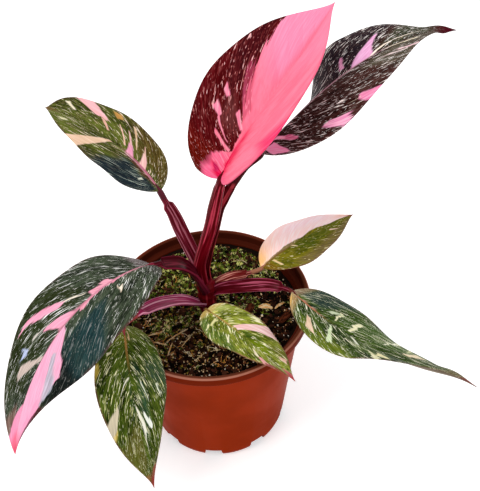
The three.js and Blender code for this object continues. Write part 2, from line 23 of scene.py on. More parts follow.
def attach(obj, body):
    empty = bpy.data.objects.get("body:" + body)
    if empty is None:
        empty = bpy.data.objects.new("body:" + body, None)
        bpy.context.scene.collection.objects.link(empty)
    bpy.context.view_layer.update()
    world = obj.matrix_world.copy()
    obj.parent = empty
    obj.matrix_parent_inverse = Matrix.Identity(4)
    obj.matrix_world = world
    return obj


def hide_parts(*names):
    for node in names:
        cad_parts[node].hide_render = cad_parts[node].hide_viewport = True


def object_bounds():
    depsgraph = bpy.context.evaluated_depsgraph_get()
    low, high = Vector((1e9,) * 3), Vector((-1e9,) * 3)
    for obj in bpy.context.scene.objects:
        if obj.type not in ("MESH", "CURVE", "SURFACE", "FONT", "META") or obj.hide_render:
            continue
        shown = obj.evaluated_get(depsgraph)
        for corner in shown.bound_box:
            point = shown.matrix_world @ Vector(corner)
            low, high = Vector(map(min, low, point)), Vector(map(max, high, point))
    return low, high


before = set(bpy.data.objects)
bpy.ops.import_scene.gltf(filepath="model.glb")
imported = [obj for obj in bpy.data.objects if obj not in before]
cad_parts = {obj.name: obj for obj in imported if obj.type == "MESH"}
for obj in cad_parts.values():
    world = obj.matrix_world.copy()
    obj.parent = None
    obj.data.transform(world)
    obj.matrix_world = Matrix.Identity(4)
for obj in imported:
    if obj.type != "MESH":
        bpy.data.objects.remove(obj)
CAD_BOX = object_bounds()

logging.basicConfig(level=logging.INFO, format="%(levelname)s %(message)s")
log = logging.getLogger("potted_plant")

MM = 0.001
BODY = "root"
FULL_TURN = 2 * math.pi

Triple = tuple[float, float, float]
Pair = tuple[float, float]
Socket = bpy.types.NodeSocket
Tree = bpy.types.NodeTree
Mesh = bpy.types.Mesh
Material = bpy.types.Material
Piece = bpy.types.Object


class Side(IntEnum):
    """The two halves of a blade, as seen from its base looking at its tip."""

    RIGHT = 1
    LEFT = -1


class GrainShape(Enum):
    """How finely a loose grain of compost is made."""

    CRUMB = 1
    LUMP = 2


# ---- Small helpers ----


def tint(code: str, gain: float = 1.0) -> tuple[float, float, float, float]:
    """Turns a display colour into the linear colour that a shader takes.

    Args:
        code: Six hexadecimal digits, red first.
        gain: How many times as bright it becomes.

    Returns:
        Linear red, green, blue and an alpha of one.
    """
    parts = [int(code[i : i + 2], 16) / 255 for i in (0, 2, 4)]
    linear = [p / 12.92 if p <= 0.04045 else ((p + 0.055) / 1.055) ** 2.4 for p in parts]
    red, green, blue = (min(1.0, gain * p) for p in linear)
    return (red, green, blue, 1.0)


def ease(value: Any, low: float, high: float) -> Any:
    """Smooth step from 0 at low to 1 at high, for a number or an array."""
    share = np.clip((value - low) / (high - low), 0, 1)
    return share * share * (3 - 2 * share)


def blend(start: Any, end: Any, share: Any) -> Any:
    """Straight mix of two values."""
    return start + (end - start) * share


def unit(vectors: np.ndarray) -> np.ndarray:
    """Scales each row of an array of vectors to length one."""
    return vectors / np.maximum(np.linalg.norm(vectors, axis=-1, keepdims=True), 1e-12)


def circle(radius: float, steps: int) -> list[Pair]:
    """Points of a circle round the pot's axis."""
    turns = [FULL_TURN * i / steps for i in range(steps)]
    return [(radius * math.cos(a), radius * math.sin(a)) for a in turns]


def add_object(name: str, mesh: Mesh) -> Piece:
    """Puts a mesh in the scene as an object at the origin.

    Args:
        name: The object's name.
        mesh: Its mesh.

    Returns:
        The object.
    """
    piece = bpy.data.objects.new(name, mesh)
    bpy.context.scene.collection.objects.link(piece)
    return piece


def settle(bm: bmesh.types.BMesh, name: str, closed: bool = True) -> Mesh:
    """Turns loose faces into a mesh, with its normals outward if it is closed.

    Args:
        bm: The faces, which are used up.
        name: The mesh's name.
        closed: Whether the faces close round a solid.

    Returns:
        The mesh.
    """
    if closed:
        bmesh.ops.recalc_face_normals(bm, faces=bm.faces)
    mesh = bpy.data.meshes.new(name)
    bm.to_mesh(mesh)
    bm.free()
    return mesh


def place_piece(
    mesh: Mesh, material: Optional[Material] = None, replaced: Sequence[str] = ()
) -> Piece:
    """Makes a finished piece of a mesh, with its material, and hides the frame's nodes that it
    stands for.

    Args:
        mesh: The finished mesh, named as the piece is.
        material: The piece's material, if the mesh has none yet.
        replaced: The frame's nodes that the piece stands for.

    Returns:
        The piece, riding on the plant's body.
    """
    if material:
        mesh.materials.append(material)
    piece = add_object(mesh.name, mesh)
    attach(piece, BODY)
    if replaced:
        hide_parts(*replaced)
    log.info("%s: %d faces", piece.name, len(mesh.polygons))
    return piece


# ---- Node trees ----


class Value:
    """An output of a node, with which sums add Math nodes to its tree."""

    def __init__(self, graph: "Graph", socket: Socket) -> None:
        """Keeps the output and the graph that it belongs to."""
        self.graph, self.socket = graph, socket

    def __add__(self, other: Any) -> "Value":
        """The sum."""
        return self.graph.maths("ADD", self, other)

    def __sub__(self, other: Any) -> "Value":
        """The difference."""
        return self.graph.maths("SUBTRACT", self, other)

    def __rsub__(self, other: float) -> "Value":
        """What is left of a number."""
        return self.graph.maths("SUBTRACT", other, self)

    def __mul__(self, other: Any) -> "Value":
        """The product."""
        return self.graph.maths("MULTIPLY", self, other)

    def __truediv__(self, other: Any) -> "Value":
        """The quotient."""
        return self.graph.maths("DIVIDE", self, other)

    def __rtruediv__(self, other: float) -> "Value":
        """A number divided by the value."""
        return self.graph.maths("DIVIDE", other, self)

    def __abs__(self) -> "Value":
        """The size without the sign."""
        return self.graph.maths("ABSOLUTE", self)

    def line(self, slope: Any, start: Any) -> "Value":
        """The value times a slope, plus a start."""
        return self.graph.maths("MULTIPLY_ADD", self, slope, start)

    def step(self, low: Any, high: Any) -> "Value":
        """Smooth step from 0 at low to 1 at high."""
        inputs = {"Value": self, "From Min": low, "From Max": high}
        return self.graph.get("ShaderNodeMapRange", inputs, interpolation_type="SMOOTHSTEP")


class Graph:
    """A node tree that is built call by call."""

    def __init__(self, tree: Tree) -> None:
        """Keeps the tree to add to."""
        self.tree = tree

    def fill(self, socket: Socket, value: Any) -> None:
        """Links a socket to a value of the tree, or sets the socket's own number.

        Args:
            socket: The input to fill.
            value: A value of the tree, or a plain number, vector or colour.
        """
        if isinstance(value, Value):
            self.tree.links.new(value.socket, socket)
        else:
            socket.default_value = value

    def node(self, kind: str, inputs: Optional[dict] = None, **settings: Any) -> bpy.types.Node:
        """Adds a node.

        Args:
            kind: Blender's name for the node's type.
            inputs: Values by socket name or number.
            **settings: The node's own properties.

        Returns:
            The new node.
        """
        made = self.tree.nodes.new(kind)
        for key, value in settings.items():
            setattr(made, key, value)
        for key, value in (inputs or {}).items():
            self.fill(made.inputs[key], value)
        return made

    def get(
        self, kind: str, inputs: Optional[dict] = None, output: Any = 0, **settings: Any
    ) -> Value:
        """Adds a node and gives one of its outputs, by name or number."""
        return Value(self, self.node(kind, inputs, **settings).outputs[output])

    def split(self, value: Value, kind: str = "ShaderNodeSeparateXYZ") -> list[Value]:
        """The parts of a vector or a colour, or all that a node makes of one value."""
        return [Value(self, socket) for socket in self.node(kind, {0: value}).outputs]

    def maths(self, operation: str, *values: Any) -> Value:
        """A Math node over one to three values."""
        return self.get("ShaderNodeMath", dict(enumerate(values)), operation=operation)

    def vector_maths(self, operation: str, *values: Any) -> Value:
        """A Vector Math node over one to three values."""
        return self.get("ShaderNodeVectorMath", dict(enumerate(values)), operation=operation)

    def vector(self, *parts: Any) -> Value:
        """Three values as one vector."""
        return self.get("ShaderNodeCombineXYZ", dict(enumerate(parts)))

    def mix(self, share: Any, first: Any, second: Any) -> Value:
        """A mix of two colours, each a value or a colour code."""
        first, second = (tint(c) if isinstance(c, str) else c for c in (first, second))
        return self.get("ShaderNodeMix", {0: share, 6: first, 7: second}, 2, data_type="RGBA")

    def noise(self, vector: Value, scale: Any, detail: float = 2.0, output: Any = 0) -> Value:
        """Soft noise over a vector, from 0 to 1, or as a colour."""
        inputs = {"Vector": vector, "Scale": scale, "Detail": detail}
        return self.get("ShaderNodeTexNoise", inputs, output)

    def group(self, tree: Tree, inputs: dict) -> dict[str, Value]:
        """Places a shader node group, fills its inputs and gives its outputs by name."""
        made = self.node("ShaderNodeGroup", inputs, node_tree=tree)
        return {socket.name: Value(self, socket) for socket in made.outputs}


class GroupTree(Graph):
    """A node group under construction.

    Its sockets are listed as "Name, Name:Kind", where a name alone stands for a number.
    """

    def __init__(self, name: str, inputs: str, outputs: str, form: str = "Shader") -> None:
        """Makes an empty group.

        Args:
            name: The group's name.
            inputs: The list of its inputs.
            outputs: The list of its outputs.
            form: Shader or Geometry.
        """
        super().__init__(bpy.data.node_groups.new(name, f"{form}NodeTree"))
        self.identifiers: dict[str, str] = {}
        for in_out, listed in (("OUTPUT", outputs), ("INPUT", inputs)):
            for entry in listed.split(", "):
                label, _, kind = entry.partition(":")
                made = self.tree.interface.new_socket(
                    name=label, in_out=in_out, socket_type=f"NodeSocket{kind or 'Float'}"
                )
                self.identifiers[label] = made.identifier
        self.input = self.tree.nodes.new("NodeGroupInput")
        self.output = self.tree.nodes.new("NodeGroupOutput")

    def __getitem__(self, name: str) -> Value:
        """The group's input of that name."""
        return Value(self, self.input.outputs[name])

    def give(self, outputs: dict[str, Value]) -> Tree:
        """Fills the group's outputs by name and gives the finished group.

        Args:
            outputs: Values by the outputs' names.

        Returns:
            The finished group.
        """
        for name, value in outputs.items():
            self.fill(self.output.inputs[name], value)
        return self.tree

    def move(self, shape: Value, offset: Value, by: str = "Offset") -> Value:
        """Moves a shape's points by an offset, or to a position."""
        return self.get("GeometryNodeSetPosition", {"Geometry": shape, by: offset})

    def copies(self, spots: Value, shape: Value, turn: Value, **more: Value) -> Value:
        """Copies of a shape on points, each turned."""
        inputs = {"Points": spots, "Instance": shape, "Rotation": turn, **more}
        return self.get("GeometryNodeInstanceOnPoints", inputs)

    def whole(self, copies: Value) -> Value:
        """Makes copies into one shape."""
        return self.get("GeometryNodeRealizeInstances", {0: copies})

    def finish(self, shape: Value) -> "GroupTree":
        """Gives out a shape in the material that the group is given.

        Args:
            shape: The shape to give out.

        Returns:
            The finished group.
        """
        inputs = {"Geometry": shape, "Material": self["Material"]}
        self.give({"Geometry": self.get("GeometryNodeSetMaterial", inputs)})
        return self


def leaf_place_group() -> Tree:
    """Where a point lies on a blade: along the margin, out from the midrib, and their noises.

    Returns:
        The shader node group.
    """
    g = GroupTree(
        "leaf_place",
        "Place:Vector, Length, Breadth, Seed, Veins, Lean right, Lean left",
        "Leaned station, Out, Reach, Ragged station, Bent out, Ragged out, "
        "Streak, Mottle, Grit, Vein",
    )
    station, beside, _ = g.split(g["Place"])
    out = beside.line(2.0, -1.0)
    right = g.maths("MAXIMUM", out, 0.0) * g["Lean right"]
    left = g.maths("MINIMUM", out, 0.0) * g["Lean left"]
    leaned = station - (right - left)
    run, across = leaned * g["Length"], out * g["Breadth"]

    def noise_at(width: float, length: float, detail: float) -> Value:
        """Noise whose spots are width by length millimetres, drawn out along the veins."""
        return g.noise(g.vector(run / width, across / length, g["Seed"]), 1.0, detail)

    streak, fringe = noise_at(1.1, 9.0, 3.0), noise_at(1.5, 40.0, 3.0)
    wander, mottle = noise_at(11.0, 26.0, 2.0), noise_at(9.0, 12.0, 3.0)
    drift = (streak - 0.5).line(0.9, (wander - 0.5) * 2.4)
    bent = (mottle - 0.5).line(0.35, out)
    ridge = abs(g.maths("FRACT", station * g["Veins"]) - 0.5) * 2.0
    return g.give(
        {
            "Leaned station": leaned,
            "Out": out,
            "Reach": abs(out),
            "Ragged station": (station * g["Length"] + drift) / g["Length"],
            "Bent out": bent,
            "Ragged out": out.line((fringe - 0.5) * 0.6, bent),
            "Streak": streak,
            "Mottle": mottle,
            "Grit": noise_at(1.2, 2.0, 3.0),
            "Vein": ridge.step(0.82, 1.0),
        }
    )


def specks_group() -> Tree:
    """Scattered specks, drawn out along the veins.

    Returns:
        The shader node group.
    """
    g = GroupTree(
        "leaf_specks",
        "Station, Out, Length, Breadth, Seed, Cell, Stretch, Density, Size",
        "Mask, Tone",
    )
    along = g["Station"] * g["Length"] / g["Cell"]
    across = g["Out"] * g["Breadth"] / (g["Cell"] * g["Stretch"])
    place = g.vector(along, across, g["Seed"])
    warp = g.vector(g.noise(place, 0.9) * 0.9, 0.0, 0.0)
    place = g.vector_maths("ADD", place, warp)
    cells = g.node("ShaderNodeTexVoronoi", {"Vector": place, "Scale": 1.0, "Randomness": 1.0})
    distance, colour = (Value(g, cells.outputs[name]) for name in ("Distance", "Color"))
    chosen, wide, tone, *_ = g.split(colour, "ShaderNodeSeparateColor")
    radius = g["Size"] * wide.line(0.7, 0.3)
    spot = 1.0 - distance.step(radius * 0.55, radius)
    return g.give({"Mask": spot * g.maths("LESS_THAN", chosen, g["Density"]), "Tone": tone})


def flecks_group() -> Tree:
    """Fine broken streaks along the veins.

    Returns:
        The shader node group.
    """
    g = GroupTree(
        "leaf_flecks", "Station, Out, Length, Breadth, Seed, Width, Run, Level", "Mask, Tone"
    )
    along, across = g["Station"] * g["Length"], g["Out"] * g["Breadth"]
    sway = g.noise(g.vector(along / 5.0, across / 5.0, g["Seed"]), 1.0)
    bent = sway.line(2.2, along)
    fine = g.noise(g.vector(bent / g["Width"], across / g["Run"], g["Seed"]), 1.0, 1.0)
    crowd = (sway - 0.5).line(-0.22, g["Level"])
    return g.give({"Mask": fine.step(crowd, crowd + 0.07), "Tone": sway})


def patch_group() -> Tree:
    """A sector of one half of a blade, between two veins and two distances from the midrib.

    Returns:
        The shader node group.
    """
    g = GroupTree(
        "leaf_patch",
        "Station, Out, Ragged out, Fray, From, To, Start centre, End centre, "
        "Start half, End half, Edge",
        "Mask",
    )
    place = (g["Ragged out"] - g["Out"]).line(g["Fray"], g["Out"])
    share = (place - g["From"]) / (g["To"] - g["From"])
    share = g.maths("MINIMUM", g.maths("MAXIMUM", share, 0.0), 1.0)

    def between(what: str) -> Value:
        """A measure on its way from its value at the start to that at the end."""
        start = g[f"Start {what}"]
        return (g[f"End {what}"] - start).line(share, start)

    room = between("half") - abs(g["Station"] - between("centre"))
    soft = g["Edge"] * 3.0
    begins = place.step(g["From"], g["From"] + soft)
    ends = place.step(g["To"] - soft, g["To"])
    return g.give({"Mask": room.step(0.0, g["Edge"]) * (begins * (1.0 - ends))})


def grime_group() -> Tree:
    """Fine dust and damp marks over a hard or fleshy surface.

    Returns:
        The shader node group.
    """
    g = GroupTree("grime", "Vector:Vector, Fine, Broad", "Dust, Cloud, Grain")
    fine = g.noise(g["Vector"], g["Fine"], 4.0)
    cloud = g.noise(g["Vector"], g["Broad"], 3.0).step(0.35, 0.7)
    return g.give({"Dust": fine.step(0.55, 0.8) * cloud, "Cloud": cloud, "Grain": fine})


class SharedNodes:
    """The shader node groups that more than one material uses, each built once."""

    place: Tree
    specks: Tree
    flecks: Tree
    patch: Tree
    grime: Tree

    @classmethod
    def build(cls) -> None:
        """Builds every shared group."""
        cls.place = leaf_place_group()
        cls.specks = specks_group()
        cls.flecks = flecks_group()
        cls.patch = patch_group()
        cls.grime = grime_group()


class MaterialGraph(Graph):
    """A material with one Principled surface."""

    def __init__(self, name: str) -> None:
        """Makes an empty material of that name.

        Args:
            name: The material's name.
        """
        self.material = bpy.data.materials.new(name)
        self.material.use_nodes = True
        super().__init__(self.material.node_tree)
        self.tree.nodes.clear()
        self.surface = self.node("ShaderNodeBsdfPrincipled")
        output = self.node("ShaderNodeOutputMaterial")
        self.tree.links.new(self.surface.outputs[0], output.inputs["Surface"])
        self.place = self.get("ShaderNodeTexCoord", output="Object")

    def set(self, **values: Any) -> None:
        """Fills the surface's inputs; an underscore in a name stands for a space."""
        for key, value in values.items():
            self.fill(self.surface.inputs[key.replace("_", " ")], value)

    def bump(self, height: Value, distance: float, strength: float) -> None:
        """Feeds a height in metres times distance to the surface's normal."""
        inputs = {"Height": height, "Distance": distance, "Strength": strength}
        self.set(Normal=self.get("ShaderNodeBump", inputs))

    def grime(self, fine: float, broad: float) -> dict[str, Value]:
        """The dust, cloud and grain of the shared grime at two scales."""
        inputs = {"Vector": self.place, "Fine": fine, "Broad": broad}
        return self.group(SharedNodes.grime, inputs)


# ---- Leaf markings ----


@dataclass(frozen=True)
class Patch:
    """A sector of colour that follows the veins of one half of a blade."""

    side: Side  # The half that it lies on
    out: Pair  # Where it starts and ends, from 0 at the midrib to 1 at the margin
    centre: Pair  # The station of its middle at its start and at its end
    half: Pair  # Its half width in stations at its start and at its end
    colour: str  # Its main colour
    second: Optional[str] = None  # A second colour that streaks it
    edge: float = 0.012  # How soft its sides are, in stations
    cover: float = 1.0  # How fully it hides what lies below
    name: str = ""  # A name that specks can be kept inside
    fray: float = 0.3  # How much its sides fray along the veins

    def draw(self, m: MaterialGraph, at: dict[str, Value], _: dict) -> tuple[Value, Value]:
        """Its mask, kept to its own half, and the share of its second colour.

        Args:
            m: The material.
            at: The outputs of the place group.

        Returns:
            The mask and the share.
        """
        side = float(self.side)
        inputs = {
            "Station": at["Ragged station"],
            "Out": at["Bent out"] * side,
            "Ragged out": at["Ragged out"] * side,
            "Fray": self.fray,
            "Edge": self.edge,
        }
        ends = (("From", "To"), ("Start centre", "End centre"), ("Start half", "End half"))
        for labels, pair in zip(ends, (self.out, self.centre, self.half)):
            inputs.update(zip(labels, pair))
        mask = m.group(SharedNodes.patch, inputs)["Mask"]
        return mask * (at["Out"] * side).step(-0.01, 0.02), at["Streak"].step(0.4, 0.66)


def scattered(
    m: MaterialGraph, tree: Tree, at: dict[str, Value], inputs: dict
) -> tuple[Value, Value]:
    """Draws specks or streaks with the group that scatters them."""
    made = m.group(tree, {"Station": at["Leaned station"], "Out": at["Out"], **inputs})
    return made["Mask"], made["Tone"].step(0.35, 0.65)


@dataclass(frozen=True)
class Specks:
    """A scatter of specks or dashes."""

    cell: float  # Their spacing across the veins, in millimetres
    stretch: float  # How much longer than wide they are
    density: float  # The share of cells that hold one
    size: float  # Their radius as a share of the cell
    colour: str  # Their colour
    second: Optional[str] = None  # The colour that some of them have
    inside: str = ""  # The patch that they keep to, or none
    seed: float = 1.0  # The random seed
    cover: float = 1.0  # How fully they hide what lies below

    def draw(self, m: MaterialGraph, at: dict[str, Value], blade: dict) -> tuple[Value, Value]:
        """Their mask and the share of their second colour.

        Args:
            m: The material.
            at: The outputs of the place group.
            blade: The group's inputs that are the blade's own.

        Returns:
            The mask and the share.
        """
        own = {"Cell": self.cell, "Stretch": self.stretch}
        own |= {"Density": self.density, "Size": self.size}
        return scattered(m, SharedNodes.specks, at, {**blade, **own})


@dataclass(frozen=True)
class Flecks:
    """Fine broken streaks along the veins."""

    width: float  # Their width, in millimetres
    run: float  # Their length, in millimetres
    share: float  # The share of the blade that they cover
    colour: str  # Their colour
    second: Optional[str] = None  # The colour that some of them have
    inside: str = ""  # The patch that they keep to, or none
    seed: float = 1.0  # The random seed
    cover: float = 1.0  # How fully they hide what lies below

    @property
    def level(self) -> float:
        """The noise level above which a streak shows."""
        return NormalDist(0.5, 0.125).inv_cdf(1 - self.share) - 0.035

    def draw(self, m: MaterialGraph, at: dict[str, Value], blade: dict) -> tuple[Value, Value]:
        """Their mask and the share of their second colour."""
        own = {"Width": self.width, "Run": self.run, "Level": self.level}
        return scattered(m, SharedNodes.flecks, at, {**blade, **own})


Layer = Union[Patch, Specks, Flecks]


def freckles(
    dust: str, dash: str, bright: str, amount: float = 1.0, inside: str = ""
) -> tuple[Union[Specks, Flecks], ...]:
    """The streaks and specks that the blades share.

    Args:
        dust: The colour of the faint streaks.
        dash: The colour of most specks.
        bright: The colour of the brightest specks.
        amount: How many there are, with 1 as usual.
        inside: The patch that they keep to, or none.

    Returns:
        The layers from the finest up.
    """
    return (
        Flecks(0.7, 1.8, 0.14 * amount, dust, None, inside, 1.0, 0.55),
        Flecks(0.8, 3.0, 0.035 * amount, dash, bright, inside, 2.0),
        Specks(0.8, 1.7, 0.26 * amount, 0.36, dash, bright, inside, 3.0),
        Specks(1.5, 2.8, 0.13 * amount, 0.27, dash, bright, inside, 4.0),
    )


@dataclass(frozen=True)
class LeafFinish:
    """The colours of one blade."""

    IOR = 1.05
    RIB_WIDTH = 0.9
    SEED_STEP = 3.7

    dark: str  # The darker ground colour
    light: str  # The lighter ground colour
    rib: str  # The midrib's colour
    rib_to: float  # The station where the midrib's colour fades
    margin: str  # The colour of the outermost rim
    tip: str  # The colour of the drawn-out tip
    tip_from: float  # The station where the tip's colour starts
    under: str  # The colour of the underside
    layers: tuple[Layer, ...]  # What lies on the ground, from the lowest up
    roughness: float = 0.42  # The surface's roughness
    # How far the veins of the right and the left half lean to the tip, in stations
    lean: Pair = (0.0, 0.0)
    grit: float = 0.7  # How strongly the ground is mottled

    def material(self, name: str, length: float, breadth: float, seed: float) -> Material:
        """Makes the blade's material.

        Args:
            name: The material's name.
            length: The blade's length in millimetres.
            breadth: The width of one half in millimetres.
            seed: The random seed of the markings.

        Returns:
            The material.
        """
        m = MaterialGraph(name)
        top = m.get("ShaderNodeAttribute", output="Fac", attribute_name=Blade.TOP)
        blade = {"Length": length, "Breadth": breadth, "Seed": seed}
        own = {"Place": m.get("ShaderNodeUVMap", uv_map=Blade.UV), "Veins": Blade.VEINS}
        own |= zip(("Lean right", "Lean left"), self.lean)
        at = m.group(SharedNodes.place, {**blade, **own})
        streak, mottle, grit = at["Streak"], at["Mottle"], at["Grit"]
        reach, station = at["Reach"], at["Ragged station"]
        colour = m.mix(mottle.step(0.38, 0.64), self.dark, self.light)
        colour = m.mix(streak.step(0.52, 0.72) * 0.45, colour, self.light)
        colour = m.mix(grit.step(0.52, 0.7) * self.grit, colour, tint(self.light, 1.5))
        colour = m.mix(grit.step(0.48, 0.32) * self.grit, colour, tint(self.dark, 0.35))
        colour = m.mix(reach.step(0.95, 0.985) * 0.85, colour, self.margin)
        masks: dict[str, Value] = {}
        for number, layer in enumerate(self.layers):
            if isinstance(layer, Patch):
                mask, share = layer.draw(m, at, blade)
                masks[layer.name] = mask
            else:
                layer_seed = seed + self.SEED_STEP * number + layer.seed
                mask, share = layer.draw(m, at, {**blade, "Seed": layer_seed})
                if layer.inside:
                    mask = mask * masks[layer.inside]
            if layer.cover < 1.0:
                mask = mask * layer.cover
            hue = m.mix(share, layer.colour, layer.second) if layer.second else tint(layer.colour)
            colour = m.mix(mask, colour, hue)
        width = self.RIB_WIDTH / breadth
        rib = (1.0 - station.step(self.rib_to - 0.15, self.rib_to + 0.1)) * 0.9
        colour = m.mix((1.0 - reach.step(width / 2, width)) * rib, colour, self.rib)
        colour = m.mix(station.step(self.tip_from, self.tip_from + 0.09), colour, self.tip)
        dull = m.mix(0.72, colour, self.under)
        under = m.mix(mottle.step(0.35, 0.7) * 0.5, dull, self.under)
        wear_and_sheen = streak.line(0.16, self.roughness - 0.08)
        m.set(Base_Color=m.mix(top, under, colour), Roughness=wear_and_sheen, IOR=self.IOR)
        height = streak.line(0.5, at["Vein"] * -0.6) + m.noise(m.place, 1500.0) * 0.25
        m.bump(height, 0.00012, 0.8)
        return m.material


# ---- Leaves ----


@dataclass(frozen=True)
class LeafShape:
    """The measures of one leaf, in millimetres and degrees.

    Where a value has two numbers for the halves of the blade, the right one comes first.
    """

    name: str  # The leaf's name
    base: Triple  # Where the stalk meets the blade
    heading: Pair  # Compass angle of the midrib from +X, at the base and at the tip
    rise: Pair  # Angle of the midrib above the horizon, at the base and at the tip
    bend: float  # How soon the rise changes
    length: float  # Length of the midrib
    half: Pair  # Greatest width of each half
    lobe: Pair  # How far each half reaches back past the base
    broad: Pair  # Where each half is widest, as a share of the length
    full: Pair  # How long each half stays wide
    drip: Pair  # How long the pointed tip of each half is
    roll: Pair  # Turn of the blade about its midrib, at the base and at the tip
    fold: float  # Lift of both halves from the midrib
    curl: float  # Bend of both halves down to the margin
    wave: float  # Height of the margin's ripple
    route: tuple[Triple, ...]  # Points of the petiole from inside the stem to the blade
    width: float  # Width of the petiole's sheath
    depth: float  # Depth of the petiole's sheath
    start: float  # Half width of the sheath at the stem
    open: Triple  # The side that the sheath's channel faces
    sheath: float  # Share of the petiole that the sheath covers
    stalk: float  # Radius of the thin part above the sheath
    hook: float = 0.0  # What the rise gains near the tip
    twist: float = 0.0  # What the roll gains near the tip
    pinch: float = 0.12  # How blunt the tip is
    tip_from: float = 0.8  # Where hook and twist start, as a share of the length
    # How far the left half hangs at its base, and the shares where that starts to end and has ended
    sag: Triple = (0.0, 0.2, 0.5)

    @staticmethod
    def for_side(pair: Pair, side: Side) -> float:
        """The number of a pair that belongs to one half."""
        return pair[0] if side is Side.RIGHT else pair[1]


class Midrib:
    """The midrib of a blade, with a frame at every step."""

    STEPS = 120

    def __init__(self, shape: LeafShape) -> None:
        """Runs along the midrib from base to tip, by the leaf's measures.

        Args:
            shape: The leaf's measures.
        """
        self.length = shape.length
        u = np.linspace(0, 1, self.STEPS + 1)
        end = ease(u, shape.tip_from, 1)
        rise = np.radians(blend(shape.rise[0], shape.rise[1], u**shape.bend) + shape.hook * end)
        heading = np.radians(blend(shape.heading[0], shape.heading[1], u))
        level, up = np.cos(rise), np.sin(rise)
        self.along = np.stack([level * np.cos(heading), level * np.sin(heading), up], -1)
        steps = (self.along[1:] + self.along[:-1]) * (shape.length / self.STEPS / 2)
        run = np.concatenate([np.zeros((1, 3)), np.cumsum(steps, 0)])
        self.position = run + np.array(shape.base)
        level = unit(np.cross(self.along, (0.0, 0.0, 1.0)))
        upright = np.cross(level, self.along)
        roll = np.radians(blend(shape.roll[0], shape.roll[1], u) + shape.twist * end)[:, None]
        self.across = level * np.cos(roll) + upright * np.sin(roll)
        self.normal = upright * np.cos(roll) - level * np.sin(roll)

    def at(self, x: np.ndarray) -> tuple[np.ndarray, np.ndarray, np.ndarray, np.ndarray]:
        """The frame at distances x from the base.

        Args:
            x: Distances in millimetres.

        Returns:
            Position, direction to the tip, direction to the right, and upward normal.
        """
        place = np.clip(x / self.length, 0, 1) * self.STEPS
        first = np.minimum(np.floor(place).astype(int), self.STEPS - 1)
        share = (place - first)[..., None]
        tables = (self.position, self.along, self.across, self.normal)
        position, along, across, normal = (blend(t[first], t[first + 1], share) for t in tables)
        return position + along * np.minimum(x, 0)[..., None], along, across, normal


